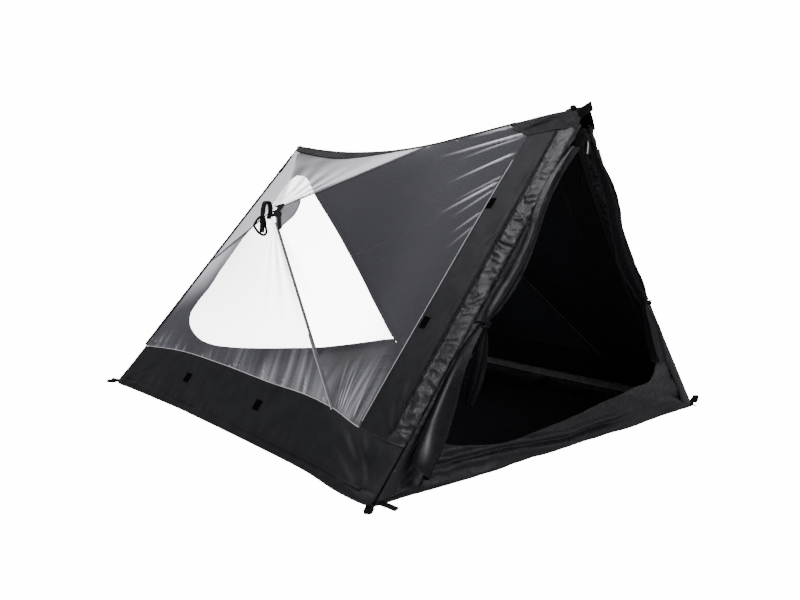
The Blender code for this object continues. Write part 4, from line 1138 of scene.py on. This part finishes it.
def rear_cloth_grid(out_line, rim_line, n, m, pleats, seed):
    """Cloth of the rear doorway between the pole and its open rim, pleated along the upper part."""
    t = shares(n)
    j = shares(m)[None, :, None]
    g = out_line(t)[:, None] * (1 - j) + rim_line(t)[:, None] * j
    wide = np.linalg.norm(g[:, -1] - g[:, 0], axis=-1)
    full = smoothstep(0.02, 0.09, wide)[:, None]
    jj = j[..., 0]
    wave = np.sin(jj * 2 * math.pi * pleats + 1.6 * noise(g, (2.0, 2.0, 2.0), seed))
    along = np.repeat(t[:, None], m, 1)
    pleated = 1 - smoothstep(0.55, 0.66, along)
    d = (full * (0.0075 * pleated * wave * smoothstep(0.1, 0.4, jj)
                 + 0.003 * octaves(g, (9.0, 9.0, 5.0), 3, seed + 1)))
    d += 0.002 * smoothstep(0.93, 0.97, jj)
    g[..., 1] += d * smoothstep(0.0, 0.06, jj)
    g[..., 2] = np.maximum(g[..., 2], REAR_CLEARANCE)
    return g


g = rear_cloth_grid(rear_left_out, rear_left_rim, 270, 30, 3.5, 81)
obj = cloth("left_rear_doorway_cloth", g, BEHIND, SHELL, THIN_SHEET)
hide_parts("left_rear_door", "rear_sill")
g = rear_cloth_grid(rear_right_out, rear_right_rim, 150, 20, 2.0, 87)
obj = cloth("right_rear_doorway_cloth", g, BEHIND, SHELL, THIN_SHEET)
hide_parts("right_rear_door")


def rear_edge_grid():
    """The narrow strip that joins a side wall to the rear pole sleeve."""
    t = shares(140)
    low = shares(30)[:, None]
    low = FRONT_CORNER * (1, -1, 1) * (1 - low) + REAR_FOOT * low
    wall = np.concatenate([low[:-1], rear_side_low(t)[:-1], rear_side_high(t)])
    pole = rear_edge(wall[:, 2] / REAR_HEIGHT) + np.array([0.0125, -0.003, -0.01])
    j = np.linspace(-0.1, 1.0, 8)[None, :, None]
    g = wall[:, None] * (1 - j) + pole[:, None] * j + INTO * 0.0012
    g[..., 2] = np.maximum(g[..., 2], REAR_CLEARANCE)
    return g


rear_strip = rear_edge_grid()
cloth("right_rear_edge_strip", rear_strip * MIRROR, OUT * MIRROR, SHELL, SHEET)
obj = cloth("left_rear_edge_strip", rear_strip, OUT, NET, None)
peak_left = Line([(-0.033, 0.0, 0.998), (-0.06, 0.0, 1.066), (-0.04, 0.0, 1.094), (-0.012, 0.0, 1.132)])
peak_right = Line([(0.062, 0.0, 1.01), (0.058, 0.0, 1.07), (0.04, 0.0, 1.094), (0.012, 0.0, 1.132)])
peak_foot = Line([(-0.033, 0.0, 0.998), (-0.014, 0.0, 1.016), (0.01, 0.0, 1.023),
                  (0.036, 0.0, 1.02), (0.062, 0.0, 1.01)])
peak_top = Line([(-0.012, 0.0, 1.132), (0.0, 0.0, 1.134), (0.012, 0.0, 1.132)])
peak = quilt(peak_foot, peak_top, peak_left, peak_right, 30, 40)
peak[..., 1] = HALF_LENGTH - REAR_LEAN * peak[..., 2] / REAR_HEIGHT - 0.0015
cloth("rear_peak_cloth", peak, BEHIND, SHELL, SHEET)


def rear_sleeve_grid():
    """The slim sleeve around a rear pole."""
    n, m = 200, 20
    s = np.linspace(0.15, 0.96, n)
    e = rear_edge(1.0)[0] - rear_edge(0.0)[0]
    e = e / np.linalg.norm(e)
    a = np.cross(e, (0.0, 1.0, 0.0))
    a = a / np.linalg.norm(a)
    b = np.cross(a, e)
    p = rear_edge(s) + np.array([0.003, 0.005, -0.002])
    th = np.linspace(0.0, 2 * math.pi, m)
    flat = np.stack([np.repeat((s * REAR_POLE_LENGTH)[:, None], m, 1),
                     np.cos(th)[None] * 0.03 + 0 * s[:, None], np.sin(th)[None] * 0.03
                     + 0 * s[:, None]], axis=-1)
    r = (REAR_SLEEVE_RADIUS + 0.0014 * (1.0 - np.abs(noise(flat, (34.0, 12.0, 12.0), 85)))
         + 0.0006 * noise(flat, (80.0, 30.0, 30.0), 86))
    return p[:, None] + a * (r * np.cos(th))[..., None] + b * (r * np.sin(th))[..., None]


for side, flip in FLIP.items():
    g = rear_sleeve_grid() * flip
    n, m = g.shape[:2]
    obj = build(f"{side}_rear_pole_sleeve", g.reshape(-1, 3),
                grid_faces(n, m, 0, side == "right"), SHELL, grid_uv(g))
    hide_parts(f"{side}_rear_sleeve")


# Ridge and peaks

def vee(ys, half, drop, top, across=16, puff=0.0, seed=0):
    """An upside-down V of cloth along the ridge: half widths and edge drops for each place along it."""
    f = np.linspace(-1.0, 1.0, across + 1)
    g = np.zeros((len(ys), across + 1, 3))
    g[..., 0] = half[:, None] * f[None]
    g[..., 1] = ys[:, None]
    g[..., 2] = top[:, None] - drop[:, None] * np.abs(f[None]) ** 1.25
    g[..., 2] += puff * noise(g, (30.0, 12.0, 1.0), seed) + 0.5 * puff * noise(g, (20.0, 45.0, 1.0), seed + 1)
    return g


ys = np.linspace(-0.712, 0.7435, 260)
strip = vee(ys, np.full(len(ys), RIDGE_HALF + 0.0008), np.full(len(ys), 0.0092),
            ridge_z(ys) + 0.0007, 14, 0.0008, 91)
obj = cloth("ridge_binding", strip, UP, RIDGE_CLOTH, 0.001)
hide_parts("ridge_strip")

side_line = Line([(-0.053, -0.96, 1.13), (-0.054, -0.89, 1.1225), (-0.055, -0.824, 1.119),
                  (-0.039, -0.766, 1.1365), (-0.0185, -0.698, 1.155)])
rows = side_line(shares(90))
patch_top = vee(rows[:, 1], -rows[:, 0] + 0.001, ridge_z(rows[:, 1]) - rows[:, 2] + 0.0006,
                ridge_z(rows[:, 1]) + 0.0016, 50, 0.0, 93)
d = np.zeros(patch_top.shape[:2])
for k in range(9):
    x = -0.046 + 0.0115 * k
    d += fold(patch_top, (0.25 * x, -0.965, 1.182), (x, -0.775, 1.145), 0.0075,
              0.0034 if k % 2 else 0.0024, 0.4, 0.35)
d = 2.3 * d + 0.0022 * noise(patch_top, (70.0, 12.0, 10.0), 94)
rim = shares(patch_top.shape[1])[None]
d *= smoothstep(0.0, 0.16, rim) * (1 - smoothstep(0.84, 1.0, rim))
patch_top = patch_top + normals_of(patch_top, UP) * d[..., None]
obj = cloth("ridge_front_patch", patch_top, UP, PEAK_CLOTH, 0.0008)
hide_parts("front_peak_patch")

ys = np.linspace(-1.043, -0.956, 60)
cap = vee(ys, np.full(len(ys), 0.056), np.full(len(ys), 0.074), np.full(len(ys), 1.2042), 70, 0.0, 95)
warp = cap + 0.01 * noise(cap, 18.0, 96)[..., None]
d = 0.004 * (1.0 - np.abs(noise(warp, (38.0, 16.0, 30.0), 97)) ** 0.7 - 0.4) + 0.0012 * noise(cap, 90.0, 98)
cap = cap + normals_of(cap, UP) * np.clip(d, -0.0006, 0.004)[..., None]
obj = cloth("peak_cap_cloth", cap, UP, PEAK_CLOTH, 0.0007)
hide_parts("front_peak_cap")
ys = np.linspace(0.7405, 0.7655, 24)
rear_cap = vee(ys, np.full(len(ys), 0.0165), np.full(len(ys), 0.0096),
               ridge_z(0.7435) + 0.0028 + (ys - 0.74) * 0.03, 20, 0.0006, 99)
obj = cloth("rear_cap_cloth", rear_cap, UP, RIDGE_CLOTH, 0.0007)
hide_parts("rear_peak_cap")


def rear_hood_grid():
    """The cloth around the top of a rear edge, from the wall over the pole and in behind it."""
    heights = np.linspace(0.885, 0.998, 26)
    section = Line([(-0.034, 0.003, 0.0), (-0.02, 0.0042, 0.0), (-0.008, 0.0056, 0.0), (0.003, 0.0058, 0.0),
                    (0.0085, 0.001, 0.0), (0.0085, -0.008, 0.0), (0.0065, -0.016, 0.0)])(shares(20))
    rows = np.array([rear_edge(s)[0] for s in heights])
    g = rows[:, None] + np.array([0.0, 1.0, 0.0]) * section[None, :, :1] + OUT * section[None, :, 1:2]
    g[..., 0] = np.minimum(g[..., 0], -0.0002)
    return g + OUT * (0.001 * noise(g, (40.0, 40.0, 26.0), 151))[..., None]


put_both("rear_peak_hood", rear_hood_grid(), RIDGE_CLOTH, None)


# Tapes, hems and stitches

def wall_strip(name, curve, half, mat, lift, shift=0.0, span=(0.0, 1.0), n=90, sides=("left", "right"),
               crown=0.0):
    """A narrow strip lying on the outside of the side wall, along one of its lines."""
    path = curve(np.linspace(span[0], span[1], n))
    along = np.gradient(path, axis=0)
    across = unit(np.cross(along, OUT))
    path = path + across * shift + OUT * lift
    for side in sides:
        ribbon(f"{side}_{name}", path * FLIP[side], across * FLIP[side], mat, half, SHEET, crown=crown)


def stitch_rows(name, paths, mat, pitch=0.0065, length=0.0042, half=0.00045):
    """Rows of short stitches in one piece, along paths that each come with their outward direction."""
    verts, faces = [], []
    for path, up in paths:
        path = np.asarray(path, dtype=float)
        step = np.linalg.norm(np.diff(path, axis=0), axis=-1)
        dist = np.concatenate([[0.0], np.cumsum(step)])
        starts = np.arange(0.002, dist[-1] - length, pitch)
        a = np.stack([np.interp(starts, dist, path[:, k]) for k in range(3)], axis=-1)
        b = np.stack([np.interp(starts + length, dist, path[:, k]) for k in range(3)], axis=-1)
        up = np.asarray(up, dtype=float) / np.linalg.norm(up)
        for p, q in zip(a, b):
            d = (q - p) / max(np.linalg.norm(q - p), 1e-9)
            side = np.cross(d, up)
            side = side / np.linalg.norm(side)
            top = np.cross(side, d)
            base = len(verts)
            for end in (p, q):
                for x, y in ((-1, -1), (1, -1), (1, 1), (-1, 1)):
                    verts.append(end + side * half * x + top * half * y)
            faces += [(base, base + 3, base + 2, base + 1), (base + 4, base + 5, base + 6, base + 7)]
            for k in range(4):
                m = (k + 1) % 4
                faces.append((base + k, base + m, base + 4 + m, base + 4 + k))
    obj = build(name, np.array(verts), faces, mat, None, False)
    return obj


LIGHT_HEMS = {"front": (band_rear, 0.0017, 0.0016, -0.0015, (0.02, 0.9), 120),
              "foot": (band_between(BAND_FOOT_REAR[1], REAR_FOOT[1]), 0.0018, 0.0022, 0.0012,
                       (0.0, 1.0), 200),
              "rear_low": (rear_side_low, 0.0018, 0.0012, -0.0035, (0.02, 1.0), 60),
              "rear_high": (rear_side_high, 0.0018, 0.0012, -0.0035, (0.0, 0.97), 60)}
for label, (curve, half, lift, shift, part, steps) in LIGHT_HEMS.items():
    wall_strip(f"light_hem_{label}", curve, half, HEM, lift, shift, part, steps, ("left",))
SEAM_TAPES = {"foot": (seam_to_foot, 0.0062, (0.0, 0.93), 110),
              "ridge": (seam_to_ridge, 0.0048, (0.0, 0.93), 80),
              "rear": (seam_to_rear, 0.0052, (0.06, 1.0), 90)}
for label, (curve, half, part, steps) in SEAM_TAPES.items():
    wall_strip(f"seam_tape_{label}", curve, half, TAPE, 0.0012, 0.0, part, steps,
               crown=0.0012)
# A thin light strip beside the lower seam tape, a painted highlight along its crease.
wall_strip("seam_painted_highlight_foot", seam_to_foot, 0.002, HEM, 0.003, -0.007, (0.0, 0.33), 50,
           ("left",))
wall_strip("foot_hem_tape", lambda t: foot_line(t) * (1, 1, 0) + (0.0125, 0.0, 0.0275), 0.003, WEB, 0.0026,
           0.0, (0.03, 0.97), 240)

rows = []
for side in FLIP.values():
    up = OUT * side
    t = shares(200)
    for curve, lift in ((band_rear, 0.0022), (seam_to_foot, 0.0032), (seam_to_ridge, 0.0032),
                        (seam_to_rear, 0.0032)):
        path = curve(t)
        across = unit(np.cross(np.gradient(path, axis=0), OUT))
        for shift in (-0.004, 0.004):
            rows.append(((path + across * shift + OUT * lift) * side, up))
stitch_rows("wall_stitches", rows, THREAD)


def patch_on(name, grid, centre, half_u, half_v, mat, lift):
    """A small flat piece sewn onto a sheet: it takes the sheet's own shape around a point."""
    away = np.linalg.norm(grid - np.asarray(centre), axis=-1)
    i, j = np.unravel_index(np.argmin(away), away.shape)
    du = np.linalg.norm(grid[min(i + 1, grid.shape[0] - 1), j] - grid[i - 1, j]) / 2
    dv = np.linalg.norm(grid[i, min(j + 1, grid.shape[1] - 1)] - grid[i, j - 1]) / 2
    a = np.linspace(i - half_u / du, i + half_u / du, 14)
    b = np.linspace(j - half_v / dv, j + half_v / dv, 14)
    a = np.clip(a, 0, grid.shape[0] - 1.001)
    b = np.clip(b, 0, grid.shape[1] - 1.001)
    ia, jb = np.floor(a).astype(int), np.floor(b).astype(int)
    fa, fb = (a - ia)[:, None, None], (b - jb)[None, :, None]
    g = (grid[ia][:, jb] * (1 - fa) * (1 - fb) + grid[ia + 1][:, jb] * fa * (1 - fb)
         + grid[ia][:, jb + 1] * (1 - fa) * fb + grid[ia + 1][:, jb + 1] * fa * fb)
    put_both(name, g + normals_of(g, OUT) * lift, mat, None, PATCH_THICK)


for k, c in enumerate(((-0.81, 0.423, 0.119), (-0.81, -0.181, 0.119))):
    patch_on(f"hook_tab_foot_{k}", foot_cloth, c, 0.021, 0.021, HOOK, 0.0014)
for k, c in enumerate(((-0.238, -0.832, 0.87), (-0.534, -0.819, 0.482))):
    patch_on(f"hook_tab_door_{k}", door_band, c, 0.014, 0.022, HOOK, 0.0014)

# Black border beside the ridge
t = shares(160)
top_row = ridge_seam_rear(t)
wide = np.interp(top_row[:, 1], (-0.25, -0.05, 0.05, 0.1, 0.26, 0.42, 0.55, 0.742),
                 (0.004, 0.006, 0.022, 0.032, 0.054, 0.065, 0.062, 0.058))
length = np.linalg.norm(PULL - top_row, axis=-1)
share = np.linspace(-0.1, 1.0, 9)[None] * (wide / length)[:, None]
border = top_row[:, None] * (1 - share[..., None]) + PULL * share[..., None]
border = border + OUT * 0.003 + OUT * (0.001 * noise(border, (24.0, 24.0, 24.0), 101))[..., None]
put_both("ridge_border", border, RIDGE_CLOTH, None)

# Guyed-out point

RIDGEWARD = (RIDGE_MID - PULL) / np.linalg.norm(RIDGE_MID - PULL)
FOOTWARD = (PANEL_FOOT - PULL) / np.linalg.norm(PANEL_FOOT - PULL)
PULL_FACE = -np.cross(RIDGEWARD, FOOTWARD)
PULL_FACE = PULL_FACE / np.linalg.norm(PULL_FACE)


def pull_sheet(name, rim, mat, lift, thick=0.0008, hub=(0.004, 0.004), steps=24, rings=10):
    """A sheet lying on the wall at the guyed-out point, its rim given as (towards ridge, towards foot)."""
    rim = np.asarray(rim, dtype=float)
    closed = Line([(x, y, 0.0) for x, y in rim])(shares(steps))
    j = shares(rings)[None, :, None]
    centre = np.array([hub[0], hub[1], 0.0])
    flat = centre * (1 - j) + closed[:, None] * j
    g = PULL + flat[..., :1] * RIDGEWARD + flat[..., 1:2] * FOOTWARD
    g = g + PULL_FACE * (lift + 0.0008 * noise(g, 40.0, 103))[..., None]
    return [cloth(f"{side}_{name}", g * flip, PULL_FACE * flip, mat, thick)
            for side, flip in FLIP.items()]


PATCH_RIM = [(0.128, -0.002), (0.124, 0.016), (0.114, 0.036), (0.1, 0.056), (0.08, 0.078),
             (0.052, 0.094), (0.024, 0.108), (0.004, 0.124), (-0.002, 0.128)]
for side, obj in zip(FLIP, pull_sheet("pull_patch", PATCH_RIM, PATCH, 0.0022)):
    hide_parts(f"{side}_pullout_patch")
pull_sheet("pull_tab", [(0.014, -0.016), (0.056, -0.004), (0.05, 0.004), (0.017, 0.026), (0.012, 0.01)], WEB,
           0.0052, 0.0016, (0.025, 0.0))
pull_sheet("pull_bar", [(-0.014, -0.006), (0.01, 0.01), (0.034, 0.034), (0.026, 0.054), (0.004, 0.042),
                        (-0.02, 0.028), (-0.016, 0.004)], WEB, 0.004, 0.0016, (0.006, 0.024))

STRAP = [(0.019, -0.034), (0.011, -0.004), (0.012, 0.022), (0.02, 0.036), (0.032, 0.036), (0.042, 0.016),
         (0.048, -0.03), (0.052, -0.09)]
strap_line = Line([PULL + (-out, 0.0, up) for out, up in STRAP])
DOWN_STRAP = ((0.022, 0.026, 0.006), (0.02, 0.05, 0.0075), (0.013, 0.085, 0.007), (0.007, 0.122, 0.0045))
down_line = Line([PULL + RIDGEWARD * a + FOOTWARD * b + PULL_FACE * h for a, b, h in DOWN_STRAP])
RING_RIM = ((-0.004, 0.03), (0.012, 0.022), (0.028, 0.002), (0.034, -0.012), (0.028, -0.024),
            (0.01, -0.044), (-0.006, -0.05), (-0.014, -0.044), (-0.012, -0.01), (-0.009, 0.02),
            (-0.004, 0.03))
RING_WAY = np.array([-0.762, 0.648, 0.0])
ring_hub = PULL + np.array([-0.049, 0.0, -0.05])
ring_line = Line([ring_hub + RING_WAY * a + (0.0, 0.0, b) for a, b in RING_RIM])
for side, flip in FLIP.items():
    path = strap_line(shares(70)) * flip
    obj = ribbon(f"{side}_pull_webbing", path, BEHIND, WEB, 0.0135, 0.0072, cross_steps=8)
    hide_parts(f"{side}_pullout_strap")
    path = down_line(shares(40)) * flip
    across = np.cross(np.gradient(path, axis=0), PULL_FACE * flip)
    ribbon(f"{side}_pull_down_strap", path, across, WEB, 0.0075, 0.002, cross_steps=6)
    loop_tube(f"{side}_pull_ring", ring_line(shares(61)[:-1]) * flip, 0.005, PLASTIC, 10)


# Corners

def strap_piece(name, points, half, thick, across):
    """A short piece of webbing through a few points."""
    return ribbon(name, Line(points)(shares(26)), across, WEB, half, thick, cross_steps=6)


CORNER_STRAP = ((-0.868, -0.968, 0.012), (-0.886, -0.985, 0.009), (-0.902, -1.002, 0.005),
                (-0.914, -1.013, 0.0036))
CORNER_RING = ((0.016, 0.0), (0.012, 0.0085), (0.0, 0.0098), (-0.014, 0.0085), (-0.02, 0.0),
               (-0.014, -0.0085), (0.0, -0.0098), (0.012, -0.0085), (0.016, 0.0))
CORNERS = {"front_left": (1, 1), "front_right": (-1, 1), "rear_left": (1, -1), "rear_right": (-1, -1)}
for name, (sx, sy) in CORNERS.items():
    m = np.array([sx, sy, 1.0])
    flat = np.array([0.66, -0.75, 0.0]) * m
    strap_piece(f"{name}_corner_strap", [np.array(p) * m for p in CORNER_STRAP], 0.0105, 0.002, flat)
    for k, lift in enumerate(() if name == "front_right" else (0.005, 0.01)):
        hub = np.array([-0.9215, -1.018, lift]) * m
        rim = Line([hub + np.array([-0.75, -0.66, 0.0]) * m * a + flat * b for a, b in CORNER_RING])
        loop_tube(f"{name}_corner_ring_{k}", rim(shares(49)[:-1]), 0.0046 - 0.002 * k,
                  WEB if k == 0 else PLASTIC, 8)

strap_piece("front_left_tail", [(-0.876, -0.99, 0.01), (-0.866, -1.008, 0.007), (-0.86, -1.034, 0.0055),
                                (-0.856, -1.064, 0.004)], 0.0085, 0.0045, (1.0, 0.0, 0.35))
tab = strap_piece("front_right_tab", [(0.892, -0.996, 0.004), (0.9, -1.0, 0.022), (0.911, -1.003, 0.04),
                                      (0.922, -1.004, 0.046), (0.93, -1.003, 0.04), (0.928, -1.001, 0.024),
                                      (0.922, -0.999, 0.012)], 0.01, 0.006, (0.72, -0.69, 0.0))
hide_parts("front_right_corner_loop")
strap_piece("rear_left_tail", [(-0.884, 0.992, 0.01), (-0.904, 1.01, 0.008), (-0.922, 1.022, 0.007),
                               (-0.938, 1.034, 0.006)], 0.0055, 0.005, (0.3, 0.35, 0.88))
strap_piece("rear_left_cord", [(-0.88, 1.0, 0.008), (-0.886, 1.026, 0.005), (-0.892, 1.05, 0.004),
                               (-0.897, 1.078, 0.0036)], 0.005, 0.005, (1.0, 0.0, 0.4))

# webbing tab and small ring on the front peak, and the grey loop over the zip pull
tab = Line([(-0.036, -1.03, 1.178), (-0.02, -1.038, 1.188), (0.002, -1.044, 1.201), (0.018, -1.045, 1.209)])
obj = strap_piece("peak_webbing_tab", tab(shares(8)), 0.0165, 0.005, (-0.5, -0.1, 0.8))
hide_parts("front_peak_tab")
ring = [np.array([-0.012, -0.99, 1.206]) + (0.0, 0.0085 * math.cos(a), 0.0046 * math.sin(a))
        for a in np.linspace(0, 2 * math.pi, 29)[:-1]]
loop_tube("peak_small_ring", np.array(ring), 0.0046, PLASTIC, 8)
ring = [np.array([0.002, -1.05, 1.098]) + (0.006 * math.cos(a), 0.0, 0.012 * math.sin(a))
        for a in np.linspace(0, 2 * math.pi, 25)[:-1]]
loop_tube("zip_loop", np.array(ring), 0.0014, METAL, 8)

for k, shift in enumerate((-0.0065, 0.0015)):
    wall_strip(f"sleeve_seam_{k}", sleeve_rear, 0.0016, SATIN, 0.003, shift, (0.02, 0.99), 150, crown=0.0016)

# inside seams of the opaque wall, and the light hem where it meets the floor
for label, tape in SEAM_TAPES.items():
    wall_strip(f"seam_inside_{label}", tape[0], 0.0024, INSIDE_SEAM, -0.0016, 0.0, (0.0, 1.0), 110,
               ("right",))
wall_strip("band_seam_inside", band_line, 0.008, INNER, -0.0024, 0.0, (0.09, 1.0), 240,
           ("right",))
edge = foot_line(np.linspace(0.03, 0.97, 200)) * MIRROR
inside = np.stack([edge + (-0.02, 0.0, 0.003), edge + (-0.03, 0.0, 0.016), edge + (-0.024, 0.0, 0.03),
                   edge + (-0.034, 0.0, 0.04)], axis=1)
inside[..., 0] += 0.006 * noise(inside, (6.0, 14.0, 6.0), 121)
cloth("floor_edge_hem", inside, (-1.0, 0.0, 0.3), INSIDE_HEM, SHEET)


# Camera, floor, light

PHOTO_WIDTH = 800.0


def set_camera(focal, yaw, pitch, roll, place):
    """The camera that took the photo, from its focal length in pixels, its angles and its place."""
    fw = Vector((math.sin(yaw) * math.cos(pitch), math.cos(yaw) * math.cos(pitch), -math.sin(pitch)))
    rt = Vector((math.cos(yaw), -math.sin(yaw), 0.0))
    up = rt.cross(fw)
    right = rt * math.cos(roll) + up * math.sin(roll)
    top = -rt * math.sin(roll) + up * math.cos(roll)
    data = bpy.data.cameras.new("camera")
    data.sensor_width = 36.0
    data.lens = focal * data.sensor_width / PHOTO_WIDTH
    data.clip_start = 0.05
    data.clip_end = 100.0
    cam = bpy.data.objects.new("camera", data)
    cam.matrix_world = Matrix(((right.x, top.x, -fw.x, place[0]), (right.y, top.y, -fw.y, place[1]),
                               (right.z, top.z, -fw.z, place[2]), (0.0, 0.0, 0.0, 1.0)))
    bpy.context.scene.collection.objects.link(cam)
    bpy.context.scene.camera = cam


set_camera(754.55, 0.70511, 0.12221, 0.00889, (-2.18902, -2.63608, 0.85883))

SKY_LIGHT = 0.3
SKY_SEEN = 15.0
FLOOR_GLOW = 15.0
FLOOR_TONE = (0.52, 0.52, 0.525, 1.0)
FLOOR_REACH = 40
LIGHT_TINT = (0.94, 0.935, 1.0)

floor_mat, floor_tree, floor_shader = new_material("studio_floor")
floor_seen = add(floor_tree, "LightPath", {}).outputs["Is Camera Ray"]
floor_glow = add(floor_tree, "Math", {0: floor_seen, 1: FLOOR_GLOW}, operation="MULTIPLY")
feed(floor_tree, floor_shader, {"Base Color": FLOOR_TONE, "Roughness": 0.9, "Emission Color": WHITE,
                                "Emission Strength": floor_glow.outputs["Value"]})
floor_mesh = bpy.data.meshes.new("studio_floor")
floor_mesh.from_pydata([(-FLOOR_REACH, -FLOOR_REACH, 0), (FLOOR_REACH, -FLOOR_REACH, 0),
                        (FLOOR_REACH, FLOOR_REACH, 0), (-FLOOR_REACH, FLOOR_REACH, 0)], [], [(0, 1, 2, 3)])
floor_mesh.materials.append(floor_mat)
floor = bpy.data.objects.new("studio_floor", floor_mesh)
bpy.context.scene.collection.objects.link(floor)

world = bpy.data.worlds.new("studio")
bpy.context.scene.world = world
world.use_nodes = True
sky_seen = add(world.node_tree, "LightPath", {}).outputs["Is Camera Ray"]
sky = add(world.node_tree, "MapRange", {"Value": sky_seen, "To Min": SKY_LIGHT, "To Max": SKY_SEEN})
feed(world.node_tree, world.node_tree.nodes["Background"],
     {"Color": WHITE, "Strength": sky.outputs["Result"]})


def area_light(name, place, target, size, power):
    """A soft box at one place, turned to a target."""
    data = bpy.data.lights.new(name, "AREA")
    data.shape = "RECTANGLE"
    data.size, data.size_y = size
    data.energy = power
    data.color = LIGHT_TINT
    lamp = bpy.data.objects.new(name, data)
    place, target = Vector(place), Vector(target)
    lamp.location = place
    lamp.rotation_mode = "QUATERNION"
    lamp.rotation_quaternion = (target - place).to_track_quat("-Z", "Y")
    bpy.context.scene.collection.objects.link(lamp)


area_light("key", (-3.4, -1.6, 3.4), (-0.4, -0.2, 0.4), (1.2, 1.2), 68.0)
area_light("front_fill", (0.4, -4.4, 1.9), (0.0, -0.9, 0.5), (1.5, 0.9), 62.0)
area_light("top", (-1.2, 0.8, 4.2), (-0.3, 0.3, 0.9), (1.8, 1.8), 125.0)
area_light("back_top", (0.9, 3.6, 3.1), (0.0, 0.1, 0.8), (2.4, 1.6), 34.0)

# Materials of the solid parts, and the cut of each sheet

for node, mat in (("left_front_pole", POLE), ("right_front_pole", POLE), ("left_rear_pole", POLE),
                  ("right_rear_pole", POLE), ("front_left_corner_loop", WEB), ("rear_left_corner_loop", WEB),
                  ("rear_right_corner_loop", WEB), ("front_left_eyelet", METAL),
                  ("front_right_eyelet", METAL), ("zip_pull", CORD_WHITE)):
    for place in bpy.data.objects[node].material_slots:
        place.material = mat


TRIMS = {"left": (("light_hem_front", "seam_painted_highlight_foot"), ("light_hem_foot", "light_hem_rear_low"),
                  ("light_hem_rear_high",)),
         "right": (("seam_inside_foot", "seam_inside_ridge"), ("seam_inside_rear", "band_seam_inside"), ())}
for side, trims in TRIMS.items():
    front_trim, low_trim, rear_trim = ([f"{side}_{piece}" for piece in trim] for trim in trims)
    front_trim = [f"{side}_seam_tape_foot", f"{side}_seam_tape_ridge"] + front_trim
    low_trim = [f"{side}_seam_tape_rear"] + low_trim
